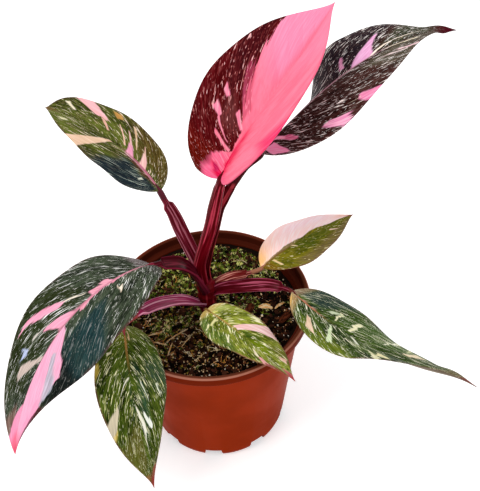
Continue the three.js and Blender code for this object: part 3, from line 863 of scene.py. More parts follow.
@dataclass
class Blade:
    """A leaf blade, thin and closed, with a groove over its midrib and a keel under it."""

    UV = "leaf"
    TOP = "upper_side"
    VEINS = 15.0
    FIRST_CURVE = 0.42
    VEIN_CURVE = 1.3
    KEEL_RUNS = 0.9
    RIPPLES = 5

    shape: LeafShape  # The leaf's measures
    finish: LeafFinish  # The leaf's colours
    seed: float  # The random seed of its markings and ripples
    thickness: float = 0.5  # Thickness of the blade
    keel: float = 1.5  # Depth of the keel under the midrib
    quilt: float = 0.22  # Height of the swelling between lateral veins
    stations: int = 90  # Steps from base to tip
    columns: int = 16  # Steps from midrib to margin

    def __post_init__(self) -> None:
        """Runs the midrib once."""
        self.midrib = Midrib(self.shape)

    @staticmethod
    def kept(grid: np.ndarray) -> np.ndarray:
        """Turns points into metres, kept within the plant's own box."""
        return np.clip(grid * MM, CAD_BOX[0], CAD_BOX[1])

    def outline(self, side: Side, s: np.ndarray) -> tuple[np.ndarray, np.ndarray]:
        """The flat margin of one half.

        Args:
            side: The half.
            s: Stations from 0 at the base to 1 at the tip.

        Returns:
            Distances along and out from the midrib, in millimetres.
        """
        shape, end = self.shape, self.shape.length
        measures = (shape.half, shape.lobe, shape.broad, shape.full, shape.drip)
        half, lobe, broad, full, drip = (shape.for_side(pair, side) for pair in measures)
        widest = broad * end
        rest = end - widest
        lower = ((0, 0), (-1.33 * lobe, 0.35 * half), (0.3 * widest - lobe, half), (widest, half))
        blunt = (end - drip * rest, shape.pinch * half)
        upper = ((widest, half), (widest + full * rest, half), blunt, (end, 0))

        def bezier(points: Sequence[Pair], t: np.ndarray) -> np.ndarray:
            """A cubic curve at t.

            Args:
                points: Its four points.
                t: Shares of the way along it.

            Returns:
                Its points at those shares.
            """
            p = [np.array(point, float) for point in points]
            t = np.clip(t, 0, 1)[..., None]
            w = 1 - t
            return w**3 * p[0] + 3 * w * w * t * p[1] + 3 * w * t * t * p[2] + t**3 * p[3]

        first = bezier(lower, s / self.FIRST_CURVE)
        second = bezier(upper, (s - self.FIRST_CURVE) / (1 - self.FIRST_CURVE))
        place = np.where((s < self.FIRST_CURVE)[..., None], first, second)
        return place[..., 0], place[..., 1]

    def surface(self, side: Side, s: np.ndarray, v: np.ndarray) -> tuple[np.ndarray, ...]:
        """The blade's middle surface.

        Args:
            side: The half.
            s: Stations along the margin.
            v: Shares of the way from midrib to margin.

        Returns:
            Points, surface normals, midrib normals, outward directions, and distances along the
            midrib as a share of its length.
        """
        shape = self.shape
        start = (1.6 * s**2 - 0.6 * s**3) * shape.length
        edge_x, edge_y = self.outline(side, s)
        x = start + (edge_x - start) * v**self.VEIN_CURVE
        y = edge_y * v
        position, _, across, rib = self.midrib.at(x)
        half = shape.for_side(shape.half, side)
        u = np.clip(x / shape.length, 0, 1)
        opening = np.radians(shape.fold) + 0 * u
        angle, sag_from, sag_to = shape.sag
        if side is Side.LEFT and angle:
            opening = opening - np.radians(angle) * (1 - ease(u, sag_from, sag_to))
        bend = np.radians(shape.curl) / half
        slope = opening - bend * y
        reach = (np.sin(opening) - np.sin(slope)) / bend
        phase = self.RIPPLES * np.pi * u + (0 if side is Side.RIGHT else 2)
        ripple = shape.wave * np.sin(phase) * (y / half) ** 2
        lift = (np.cos(slope) - np.cos(opening)) / bend + ripple
        point = position + across * (side * reach)[..., None] + rib * lift[..., None]
        level, steep = np.cos(slope)[..., None], np.sin(slope)[..., None]
        normal = unit(rib * level - across * (side * steep))
        out = unit(across * (side * level) + rib * steep)
        return point, normal, unit(rib), out, u

    def build(self) -> Mesh:
        """Makes the blade's mesh.

        Returns:
            A closed mesh with the blade's own map and upper side marked.
        """
        grids = {}
        s = np.linspace(0, 1, self.stations + 1)[:, None] + np.zeros((1, self.columns + 1))
        v = (np.linspace(0, 1, self.columns + 1) ** 1.15)[None, :] + np.zeros_like(s)
        for side in Side:
            point, normal, rib, out, u = self.surface(side, s, v)
            toward = ease(v, 0.0, 0.12)[..., None]
            ends = ((s < 1e-9) | (s > 1 - 1e-9))[..., None]
            normal = unit(np.where(ends, rib, blend(rib, normal, toward)))
            _, margin = self.outline(side, s)
            far = v * margin
            pillow = np.abs(np.sin(np.pi * self.VEINS * s)) ** 0.6 - 0.7
            room = np.sin(np.pi * np.clip(v, 0, 1)) ** 0.7
            room = room * ease(u, 0.0, 0.1) * (1 - ease(u, 0.86, 1))
            swell = self.quilt * pillow * room * np.minimum(1, margin / 12)
            groove = 0.3 * np.exp(-((far / 0.9) ** 2)) * (1 - ease(u, 0.7, 1))
            half = self.thickness / 2 * (1 - 0.45 * v**6)
            width = np.minimum(0.09 * margin, 1.6) + 0.35
            keel = self.keel * np.clip(1 - u / self.KEEL_RUNS, 0, 1) * (1 - ease(far / width, 0, 1))
            top = point + normal * (half + swell - groove)[..., None]
            under = point - normal * (half - swell + keel)[..., None]
            rim = point + out * (self.thickness * 0.35) * v[..., None] ** 8
            grids[side] = (top, under, rim[:, -1:])
        return self._mesh(grids, s, v)

    def _mesh(self, grids: dict, s: np.ndarray, v: np.ndarray) -> Mesh:
        """Joins the halves' grids into one closed mesh.

        Args:
            grids: The upper side, the underside and the rim of each half.
            s: The station of each point.
            v: How far out each point lies, from 0 at the midrib to 1.

        Returns:
            The mesh.
        """
        bm = bmesh.new()
        uv_layer = bm.loops.layers.uv.new(self.UV)
        top_layer = bm.verts.layers.float.new(self.TOP)
        rows, columns = s.shape
        last = columns - 1

        def points(grid: np.ndarray, mark: float) -> list:
            """Adds a grid's points, marked as upper side or not.

            Args:
                grid: The points, row by row.
                mark: 1 on the upper side and 0 on the lower.

            Returns:
                The mesh's points, row by row.
            """
            made = [[bm.verts.new(Vector(spot)) for spot in row] for row in self.kept(grid)]
            for vert in sum(made, []):
                vert[top_layer] = mark
            return made

        def face(corners: Sequence[tuple], side: Side, flip: bool) -> None:
            """Adds one face and its place on the map.

            Args:
                corners: Its corners, each with its row and column.
                side: The half that it lies on.
                flip: Whether to turn it over.
            """
            order = list(reversed(corners)) if flip else list(corners)
            made = bm.faces.new([corner[0] for corner in order])
            made.smooth = True
            for loop, (_, i, j) in zip(made.loops, order):
                loop[uv_layer].uv = (s[i, j], 0.5 + 0.5 * side * v[i, j])

        for side, grid in grids.items():
            upper, lower, edge = (points(*pair) for pair in zip(grid, (1.0, 0.0, 0.5)))
            left = side is Side.LEFT
            for i in range(rows - 1):
                for j in range(last):
                    square = [(i, j), (i + 1, j), (i + 1, j + 1), (i, j + 1)]
                    face([(upper[a][b], a, b) for a, b in square], side, not left)
                    face([(lower[a][b], a, b) for a, b in square], side, left)
                for high, low in ((upper, edge), (edge, lower)):
                    strip = ((high, i), (high, i + 1), (low, i + 1), (low, i))
                    face([(sheet[k][-1], k, last) for sheet, k in strip], side, not left)
        bmesh.ops.remove_doubles(bm, verts=bm.verts, dist=1e-6)
        return settle(bm, f"leaf_{self.shape.name}")

    def dress(self) -> Piece:
        """Makes the finished blade.

        Returns:
            The blade's object.
        """
        shape = self.shape
        name = f"leaf_{shape.name}"
        material = self.finish.material(name, shape.length, sum(shape.half) / 2, self.seed)
        return place_piece(self.build(), material, [f"blade_{shape.name}"])


@dataclass(frozen=True)
class FleshFinish:
    """The glossy flesh of the stem and the petioles."""

    UV = "flesh"
    IOR = 1.12

    dark: str  # The darker ground colour
    light: str  # The colour of the lengthwise streaks
    ridge: str  # The colour of the wings' edges, a painted highlight along them
    gloss: str  # The colour of the few broad pale streaks, painted highlights along the flesh
    stalk: str  # The colour of the thin stalk above the sheath
    bright: float = 0.6  # How strong the streaks are

    def material(self, name: str, sheath: float, seed: float) -> Material:
        """Makes the flesh's material.

        Args:
            name: The material's name.
            sheath: The share of the length that is sheath.
            seed: The random seed of the streaks.

        Returns:
            The material.
        """
        m = MaterialGraph(name)
        along, round_it, _ = m.split(m.get("ShaderNodeUVMap", uv_map=self.UV))

        def streaked(length: float, width: float, number: float, detail: float) -> Value:
            """Noise drawn out along the flesh, with so many spots along and round it."""
            place = m.vector(along * length, round_it * width, seed + number)
            return m.noise(place, 1.0, detail)

        fine = streaked(4.0, 38.0, 0.0, 3.0)
        broad = streaked(3.0, 9.0, 9.0, 2.0)
        highlight_lines = streaked(2.2, 17.0, 4.0, 2.0)
        streaks = fine.step(0.42, 0.68) * broad.step(0.3, 0.62)
        colour = m.mix(streaks * self.bright, self.dark, self.light)
        # Painted highlights: a few pale lines along the flesh.
        colour = m.mix(highlight_lines.step(0.53, 0.62) * fine.line(0.8, 0.3), colour, self.gloss)
        # Painted highlight along the edges of the wings.
        wave = abs(m.maths("SINE", round_it * FULL_TURN))
        colour = m.mix((1.0 - wave.step(0.05, 0.3)) * 0.8, colour, self.ridge)
        stalk = m.mix(streaks * 0.4, self.stalk, self.light)
        colour = m.mix(along.step(sheath, sheath + 0.03), colour, stalk)
        grime = m.grime(900.0, 60.0)
        colour = m.mix(grime["Cloud"] * 0.25, colour, self.dark)
        m.set(Base_Color=colour, Roughness=fine.line(0.2, 0.22), IOR=self.IOR)
        m.bump(grime["Grain"].line(0.3, fine), 0.00015, 0.8)
        return m.material


def loft(name: str, rings: np.ndarray, along: Sequence[float]) -> Mesh:
    """Skins rings of points into one closed mesh with the flesh's map.

    Args:
        name: The mesh's name.
        rings: The points of each ring, in millimetres.
        along: The map's place of each ring along the piece.

    Returns:
        The mesh.
    """
    bm = bmesh.new()
    uv_layer = bm.loops.layers.uv.new(FleshFinish.UV)
    rows = [[bm.verts.new(Vector(point)) for point in ring] for ring in rings * MM]
    count = len(rows[0])
    for k in range(len(rows) - 1):
        for i in range(count):
            j = (i + 1) % count
            made = bm.faces.new([rows[k][i], rows[k][j], rows[k + 1][j], rows[k + 1][i]])
            made.smooth = True
            places = ((k, i), (k, i + 1), (k + 1, i + 1), (k + 1, i))
            for loop, (a, b) in zip(made.loops, places):
                loop[uv_layer].uv = (along[a], b / count)
    for row in (rows[0], rows[-1]):
        bm.faces.new(row)
    return settle(bm, name)


class Spline:
    """A smooth curve through points, measured along its length."""

    FINE = 40
    STEP = 0.004

    def __init__(self, points: Sequence[Sequence[float]]) -> None:
        """Runs a centripetal spline through the points.

        Args:
            points: The points, in millimetres.
        """
        p = np.array(points, float)
        p = np.vstack([2 * p[0] - p[1], p, 2 * p[-1] - p[-2]])
        dense = []
        for i in range(1, len(p) - 2):
            knots = np.zeros(4)
            for k in range(3):
                gap = np.linalg.norm(p[i + k] - p[i + k - 1])
                knots[k + 1] = knots[k] + max(gap, 1e-6) ** 0.5
            for t in np.linspace(knots[1], knots[2], self.FINE, endpoint=False):
                dense.append(self._point(p[i - 1 : i + 3], knots, t))
        dense.append(p[-2])
        self.points = np.array(dense)
        gaps = np.linalg.norm(np.diff(self.points, axis=0), axis=1)
        self.places = np.concatenate([[0], np.cumsum(gaps)])
        self.length = self.places[-1]

    @staticmethod
    def _point(p: np.ndarray, t: np.ndarray, at: float) -> np.ndarray:
        """One point of a spline piece between its two middle points.

        Args:
            p: Four points in a row.
            t: Their knots.
            at: The knot value to find.

        Returns:
            The point.
        """

        def between(a: Sequence, k: int, n: int) -> np.ndarray:
            """The point on the way from one to the next, between knots n apart."""
            gap = t[k + n] - t[k]
            return a[k] * (t[k + n] - at) / gap + a[k + 1] * (at - t[k]) / gap

        a = [between(p, k, 1) for k in range(3)]
        b = [between(a, k, 2) for k in range(2)]
        return b[0] * (t[2] - at) / (t[2] - t[1]) + b[1] * (at - t[1]) / (t[2] - t[1])

    def at(self, share: np.ndarray) -> tuple[np.ndarray, np.ndarray]:
        """Points and directions at shares of the length.

        Args:
            share: Shares of the length.

        Returns:
            The points and the directions.
        """

        def where(shares: np.ndarray) -> np.ndarray:
            """Points at shares of the length."""
            place = np.clip(shares, 0, 1) * self.length
            return np.stack([np.interp(place, self.places, axis) for axis in self.points.T], -1)

        ahead, behind = np.minimum(share + self.STEP, 1), np.maximum(share - self.STEP, 0)
        return where(share), unit(where(ahead) - where(behind))


@dataclass
class Petiole:
    """A winged, channelled sheath that narrows to a thin stalk and runs into the blade."""

    RIBS = 14

    shape: LeafShape  # The leaf's measures
    finish: FleshFinish  # The flesh's colours
    seed: float  # The random seed of its streaks
    end_taper: float = 0.18  # How much the sheath narrows at its end
    channel: float = 0.42  # Depth of the channel, as a share of the sheath's depth
    shoulder: float = 0.03  # Share of the length over which the sheath ends
    ribbing: float = 0.09  # Height of the fine lengthwise ribs
    overlap: float = 5.0  # How far the petiole runs on under the blade
    stations: int = 110  # Steps along it
    arc: int = 22  # Steps round its back, and round its channel

    def section(self, share: np.ndarray) -> tuple[np.ndarray, np.ndarray, np.ndarray]:
        """Half width, depth and channel filling at shares of the length.

        Args:
            share: Shares of the length.

        Returns:
            The half widths, the depths and the fillings.
        """
        shape = self.shape
        inside = np.clip(share / shape.sheath, 0, 1)
        taper = 1 - self.end_taper * ease(inside, 0.75, 1)
        width = blend(shape.start, shape.width / 2, ease(inside, 0, 0.4)) * taper
        ends = ease(share, shape.sheath - 0.4 * self.shoulder, shape.sheath + self.shoulder)
        filled = blend(-self.channel, 0.8, ends)
        depth = blend(shape.depth * taper, shape.stalk, ends)
        return blend(width, shape.stalk, ends), depth, filled

    def build(self) -> Mesh:
        """Makes the petiole's mesh, run on into the blade's keel.

        Returns:
            A closed mesh with the petiole's own map.
        """
        shape = self.shape
        midrib = Midrib(shape)
        end = midrib.position[0] - midrib.along[0] * 0.5 - midrib.normal[0] * 0.75
        position, _, _, normal = midrib.at(np.array([self.overlap]))
        spline = Spline([*shape.route, end, position[0] - normal[0] * 0.55])
        share = np.linspace(0, 1, self.stations)
        centre, ahead = spline.at(share)
        width, depth, filled = self.section(share * spline.length / (spline.length - self.overlap))
        thin = 1 - 0.65 * ease(share, 1 - 6.0 / spline.length, 1)
        width, depth = width * thin, depth * thin
        opening = np.array(shape.open, float)
        opening = unit(opening - ahead * (ahead @ opening)[:, None])
        across = np.cross(opening, ahead)
        angle = np.linspace(0, np.pi, self.arc + 1)
        ribs = 1 + self.ribbing * np.cos(angle * self.RIBS) / max(shape.depth, 1)
        rings = []
        for k in range(self.stations):
            x = width[k] * np.cos(angle)
            back = -depth[k] * np.sin(angle) * ribs
            front = filled[k] * depth[k] * np.sin(angle) + 0.22 * depth[k]
            beside = np.concatenate([x, x[::-1]])[:, None]
            height = np.concatenate([back, front[::-1]])[:, None]
            rings.append(centre[k] + beside * across[k] + height * opening[k])
        return loft(f"stalk_{shape.name}", np.array(rings), share)

    def dress(self) -> Piece:
        """Makes the finished petiole.

        Returns:
            The petiole's object.
        """
        mesh, leaf = self.build(), self.shape
        material = self.finish.material(mesh.name, leaf.sheath, self.seed)
        return place_piece(mesh, material, [f"petiole_{leaf.name}"])


@dataclass
class Stem:
    """The short stem, ringed by leaf scars, from its buried foot to its crown."""

    # Its buried foot, where it leaves the compost, and its crown
    path: tuple[Triple, ...] = ((-2.0, 0.5, 60.0), (-2.0, 2.0, 95.0), (-2.0, 7.0, 114.5))
    radii: Triple = (3.6, 4.8, 5.6)  # Its radius at each of them
    scars: tuple[float, ...] = (98.0, 102.0, 106.0, 110.0)  # Heights of the leaf scars
    scar: float = 0.5  # How far a scar stands out
    scar_height: float = 0.7  # Half the height of a scar
    cap: float = 2.5  # Height of the rounded top
    sides: int = 64  # Steps round it
    rings: int = 120  # Steps up it
    # Its flesh
    finish: FleshFinish = FleshFinish("56030a", "861018", "6d1220", "a83038", "4a0a14", 0.5)
    seed: float = 41.0  # The random seed of its streaks

    def dress(self) -> Piece:
        """Makes the finished stem.

        Returns:
            The stem's object.
        """
        path = np.array(self.path)
        foot, _, crown = path[:, 2]
        rings = []
        for height in np.linspace(foot, crown, self.rings):
            centre = np.array([np.interp(height, path[:, 2], path[:, k]) for k in range(3)])
            radius = np.interp(height, path[:, 2], self.radii)
            for scar in self.scars:
                radius += self.scar * math.exp(-(((height - scar) / self.scar_height) ** 2))
            radius *= 1 - 0.35 * float(ease(height, crown - self.cap, crown))
            ring = []
            for x, y in circle(1.0, self.sides):
                reach = radius + 0.12 * noise.noise(Vector((3 * x, 3 * y, height / 4)))
                ring.append(centre + np.array([reach * x, reach * y, 0.0]))
            rings.append(ring)
        along = [0.9 * k / self.rings for k in range(self.rings)]
        mesh = loft("stem_flesh", np.array(rings), along)
        # The stem is all sheath: its thin stalk would start past its end.
        return place_piece(mesh, self.finish.material(mesh.name, 2.0, self.seed), ["stem"])


# ---- Pot ----


@dataclass(frozen=True)
class PotFinish:
    """Moulded terracotta-coloured plastic."""

    IOR = 1.05

    body: str = "8f2802"  # The outside's colour
    deep: str = "300a04"  # The darker colour of the rim and the inside: a darker band round the lip, and painted shade inside the pot
    wear_and_sheen: str = "603828"  # The paler colour of rubbed faces and scuffs, and of the painted sheen on the lip's top and the painted highlight along the inner ledge
    glint: str = "b07460"  # The palest colour, along the lip's outer edge
    inner: str = "4a1c10"  # The colour of the inner wall, painted shade

    def material(self, pot: "Pot") -> Material:
        """Makes the plastic's material.

        Args:
            pot: The pot, for the heights where its colours change.

        Returns:
            The material.
        """
        m = MaterialGraph("pot_plastic")
        x, y, z = m.split(m.place)
        radius = m.maths("SQRT", x * x + y * y)
        grime = m.grime(700.0, 28.0)
        cloud, grain = grime["Cloud"], grime["Grain"]
        top, lip = pot.height, pot.lip_radius
        neck = (top - pot.lip_height) * MM
        rim = z.step(neck - 0.0006, neck + 0.0006)
        wall = z.line(pot.taper, (pot.base_radius - pot.taper * pot.corner_height) * MM)
        inside = 1.0 - (radius - wall).step(-0.0018, -0.0008)
        inner_wall = inside * m.maths("GREATER_THAN", z, 0.012)
        inner_lip = 1.0 - radius.step((lip - pot.lip_width - 0.2) * MM, (lip - 0.8) * MM)
        # Painted shade darkens the inner wall and the inside of the lip; the lip's outer band is
        # made darker too.
        dark = m.maths("MAXIMUM", inner_wall, rim * inner_lip.line(0.35, 0.55))
        within = m.maths("MAXIMUM", inner_wall, rim * (inner_lip * 0.8))
        # Painted reflection: the lip's top is paler toward the front, broken by the grain like
        # rubbing.
        front = 1.0 - x.line(-0.6, y).step(-0.03, 0.03)
        rub_and_sheen = front.line(0.45, 0.3) * grain.line(0.9, 0.4)
        topside = z.step((top - 0.9) * MM, (top - 0.1) * MM)
        outer = radius.step((lip - 1.1) * MM, (lip - 0.5) * MM)
        upper = z.step((top - 1.3) * MM, (top - 0.8) * MM)
        # Painted highlight along the ridge of the ledge inside the lip.
        ledge = abs(z - (top - pot.ledge_depth + 0.1) * MM)
        ledge_highlight = (1.0 - ledge.step(0.0004, 0.0009)) * inside
        scuffs = m.noise(m.vector(x * 900.0, y * 900.0, z * 60.0), 1.0, 3.0)
        colour: Any = self.body
        for share, second in (
            (cloud * 0.22, self.deep),
            (dark, self.deep),
            (within, self.inner),
            (topside * rub_and_sheen, self.wear_and_sheen),
            (outer * upper * 0.75, self.glint),
            (ledge_highlight * 0.5, self.wear_and_sheen),
            (scuffs.step(0.68, 0.8) * (cloud * 0.25), self.wear_and_sheen),
            (grime["Dust"] * 0.06, self.wear_and_sheen),
        ):
            colour = m.mix(share, colour, second)
        m.set(Base_Color=colour, Roughness=cloud.line(0.14, grain.line(0.12, 0.3)), IOR=self.IOR)
        m.bump(scuffs.line(0.5, grain), 0.00006, 0.7)
        return m.material


@dataclass
class Pot:
    """A round tapered nursery pot with a slotted foot and drainage holes."""

    height: float = 106.0  # Height over all
    lip_radius: float = 60.0  # Outer radius of the lip
    lip_height: float = 6.4  # Height of the lip's band
    lip_width: float = 2.8  # Thickness of the lip
    lip_edge: float = 0.7  # Rounding of the lip
    neck_radius: float = 55.4  # Outer radius just under the lip
    base_radius: float = 43.5  # Outer radius at the bottom corner
    corner_height: float = 8.6  # Height of the rounded bottom corner
    foot_radius: float = 38.4  # Outer radius of the foot ring
    foot_width: float = 2.6  # Width of the foot ring
    wall: float = 1.5  # Wall thickness
    ledge_depth: float = 5.2  # Depth of the ledge under the lip, inside
    floor_gap: float = 3.0  # Height of the floor above what the pot stands on
    centre_foot_radius: float = 9.0  # Radius of the disc at the centre of the underside
    slots: int = 9  # Number of slots through the foot
    slot_first: float = -56.0  # Compass angle of the first slot
    slot_inner: float = 34.0  # Radius where a slot begins
    slot_depth: float = 14.0  # Length of a slot, out from where it begins
    slot_height: float = 8.6  # Height of a slot
    slot_top: float = 10.0  # Width of a slot at its top
    slot_bottom: float = 15.0  # Width of a slot at the ground
    drains: int = 6  # Number of holes in the floor
    drain_radius: float = 3.2  # Radius of a hole
    drain_ring: float = 24.0  # Radius of the ring of holes
    segments: int = 240  # Steps round the pot
    crease: float = 38.0  # The angle in degrees from which an edge stays sharp
    finish: PotFinish = PotFinish()  # The plastic

    @property
    def taper(self) -> float:
        """How much the wall's radius grows with its height."""
        rise = self.height - self.lip_height - self.corner_height
        return (self.neck_radius - self.base_radius) / rise

    def wall_radius(self, height: float) -> float:
        """The outer radius of the tapered wall at a height."""
        return self.base_radius + self.taper * (height - self.corner_height)

    def profile(self) -> list[Pair]:
        """The pot's section, from the axis underneath, out, up and back to the axis.

        Returns:
            Radius and height of each point, with the corners rounded.
        """
        neck, ledge = self.height - self.lip_height, self.height - self.ledge_depth
        inner, foot = self.lip_radius - self.lip_width, self.foot_radius - self.foot_width
        floor_top = self.floor_gap + self.wall
        run, rise = self.base_radius - self.foot_radius, self.corner_height
        turns = np.linspace(0, math.pi / 2, 12)
        corners: list[Triple] = [
            (self.centre_foot_radius, 0, 0.3),
            (self.centre_foot_radius, self.floor_gap, 0.3),
            (foot, self.floor_gap, 0.3),
            (foot, 0, 0.3),
            *[(self.foot_radius + run * math.sin(a), rise * (1 - math.cos(a)), 0.0) for a in turns],
            (self.neck_radius, neck, 0.5),
            (self.lip_radius, neck, 0.8),
            (self.lip_radius, self.height, 1.1),
            (inner, self.height, 0.9),
            (inner, ledge, 0.5),
            (self.wall_radius(ledge) - self.wall, ledge - self.lip_edge, 0.6),
            (self.wall_radius(self.corner_height) - self.wall, self.corner_height, 1.0),
            (self.foot_radius, floor_top, 1.0),
        ]
        points: list[Pair] = [(0.0, 0.0)]
        for i, (r, z, rounding) in enumerate(corners):
            here = np.array([r, z])
            if rounding == 0.0:
                points.append((r, z))
                continue
            before = np.array(corners[i - 1][:2] if i else (0.0, 0.0))
            after = np.array(corners[i + 1][:2] if i + 1 < len(corners) else (0.0, floor_top))
            start = here + (before - here) / np.linalg.norm(before - here) * rounding
            end = here + (after - here) / np.linalg.norm(after - here) * rounding
            for t in np.linspace(0, 1, 5):
                point = (1 - t) ** 2 * start + 2 * t * (1 - t) * here + t * t * end
                points.append((float(point[0]), float(point[1])))
        return [*points, (0.0, floor_top)]

    def turned(self) -> Mesh:
        """Turns the section round the pot's axis.

        Returns:
            The closed mesh.
        """
        bm = bmesh.new()
        rows = []
        for radius, height in self.profile():
            ring = circle(radius, self.segments if radius > 1e-6 else 1)
            rows.append([bm.verts.new((x * MM, y * MM, height * MM)) for x, y in ring])
        for low, high in zip(rows, rows[1:]):
            for i in range(self.segments):
                j = (i + 1) % self.segments
                corners = [(low, i), (low, j), (high, j), (high, i)]
                kept = list(dict.fromkeys(row[k % len(row)] for row, k in corners))
                if len(kept) > 2:
                    bm.faces.new(kept)
        return settle(bm, "pot_blank")

    def openings(self) -> GroupTree:
        """The tree that cuts the foot's slots and the floor's holes.

        Returns:
            The geometry node group.
        """
        g = GroupTree(
            "pot_openings",
            "Geometry:Geometry, Slots:Int, Slot ring, Slot first, Slot depth, Slot height, "
            "Slot top, Slot bottom, Drains:Int, Drain ring, Drain radius, Material:Material",
            "Geometry:Geometry",
            "Geometry",
        )
        size = g.vector(g["Slot depth"], g["Slot bottom"], g["Slot height"] * 2.0)
        block = g.get("GeometryNodeMeshCube", {"Size": size}, "Mesh")
        _, y, z = g.split(g.get("GeometryNodeInputPosition"))
        narrow = g["Slot top"] / g["Slot bottom"] - 1.0
        pull = y * narrow * g.maths("GREATER_THAN", z, 0.0)
        block = g.move(block, g.vector(0.0, pull, 0.0))
        bore = {"Vertices": 24, "Radius": g["Drain radius"], "Depth": 0.02}
        bore = g.get("GeometryNodeMeshCylinder", bore, "Mesh")

        def ring(cutter: Value, count: Value, radius: Value, first: Any) -> Value:
            """Copies of a cutter round the axis, each turned to face out.

            Args:
                cutter: The shape to copy.
                count: How many there are.
                radius: How far out they stand.
                first: The angle of the first.

            Returns:
                The copies as one shape.
            """
            line = {"Count": count, "Start Location": (0, 0, 0), "Offset": (0, 0, 0)}
            turn = g.get("GeometryNodeInputIndex").line(FULL_TURN / count, first)
            x, y = (g.maths(part, turn) * radius for part in ("COSINE", "SINE"))
            spots = g.get("GeometryNodeMeshLine", line)
            spots = g.move(spots, g.vector(x, y, 0.0), "Position")
            return g.whole(g.copies(spots, cutter, g.vector(0.0, 0.0, turn)))

        slots = ring(block, g["Slots"], g["Slot ring"], g["Slot first"])
        drains = ring(bore, g["Drains"], g["Drain ring"], 0.0)
        cut = g.node("GeometryNodeMeshBoolean", operation="DIFFERENCE", solver="EXACT")
        g.fill(cut.inputs[0], g["Geometry"])
        joined = g.node("GeometryNodeJoinGeometry")
        for part in (slots, drains):
            g.fill(joined.inputs[0], part)
        g.fill(cut.inputs[1], Value(g, joined.outputs[0]))
        return g.finish(g.whole(Value(g, cut.outputs[0])))

    def dress(self) -> Piece:
        """Makes the finished pot.

        Returns:
            The pot's object.
        """
        sizes = {
            "Slot ring": self.slot_inner + self.slot_depth / 2,
            "Slot depth": self.slot_depth,
            "Slot height": self.slot_height,
            "Slot top": self.slot_top,
            "Slot bottom": self.slot_bottom,
            "Drain ring": self.drain_ring,
            "Drain radius": self.drain_radius,
        }
        values = {name: size * MM for name, size in sizes.items()}
        values |= {"Slots": self.slots, "Slot first": math.radians(self.slot_first)}
        values |= {"Drains": self.drains, "Material": self.finish.material(self)}
        mesh = grown("pot_shell", self.turned(), self.openings(), values)
        mesh.shade_smooth()
        mesh.set_sharp_from_angle(angle=math.radians(self.crease))
        return place_piece(mesh, replaced=["pot"])


def grown(name: str, carrier: Mesh, tree: GroupTree, values: dict[str, Any]) -> Mesh:
    """Runs a geometry node tree over a mesh and keeps the result as a plain mesh.

    Args:
        name: The name of the result.
        carrier: The mesh that the tree starts from.
        tree: The tree, which realises its instances and sets its material.
        values: The tree's inputs by name.

    Returns:
        The plain mesh.
    """
    holder = add_object(f"{name}_carrier", carrier)
    modifier = holder.modifiers.new("grow", "NODES")
    modifier.node_group = tree.tree
    for key, value in values.items():
        modifier[tree.identifiers[key]] = value
    graph = bpy.context.evaluated_depsgraph_get()
    mesh = bpy.data.meshes.new_from_object(holder.evaluated_get(graph))
    mesh.name = name
    holder.modifiers.remove(modifier)
    bpy.data.objects.remove(holder)
    bpy.data.meshes.remove(carrier)
    return mesh


# ---- Compost ----


@dataclass(frozen=True)
class LooseFinish:
    """Loose matter whose grains differ in colour."""

    TONE = "grain_tone"
    IOR = 1.1

    first: str  # The colour of most grains
    second: str  # The colour of the rest
    roughness: float = 0.9  # The surface's roughness

    def material(self, name: str) -> Material:
        """Makes the material of that name.

        Args:
            name: The material's name.

        Returns:
            The material.
        """
        m = MaterialGraph(name)
        tone = m.get("ShaderNodeAttribute", output="Fac", attribute_name=self.TONE)
        grain = m.grime(1400.0, 90.0)["Grain"]
        colour = m.mix(grain.line(0.6, tone - 0.3).step(0.25, 0.85), self.first, self.second)
        wear_and_sheen = grain.line(0.2, self.roughness - 0.1)
        m.set(Base_Color=colour, Roughness=wear_and_sheen, IOR=self.IOR)
        m.bump(grain, 0.0002, 0.8)
        return m.material


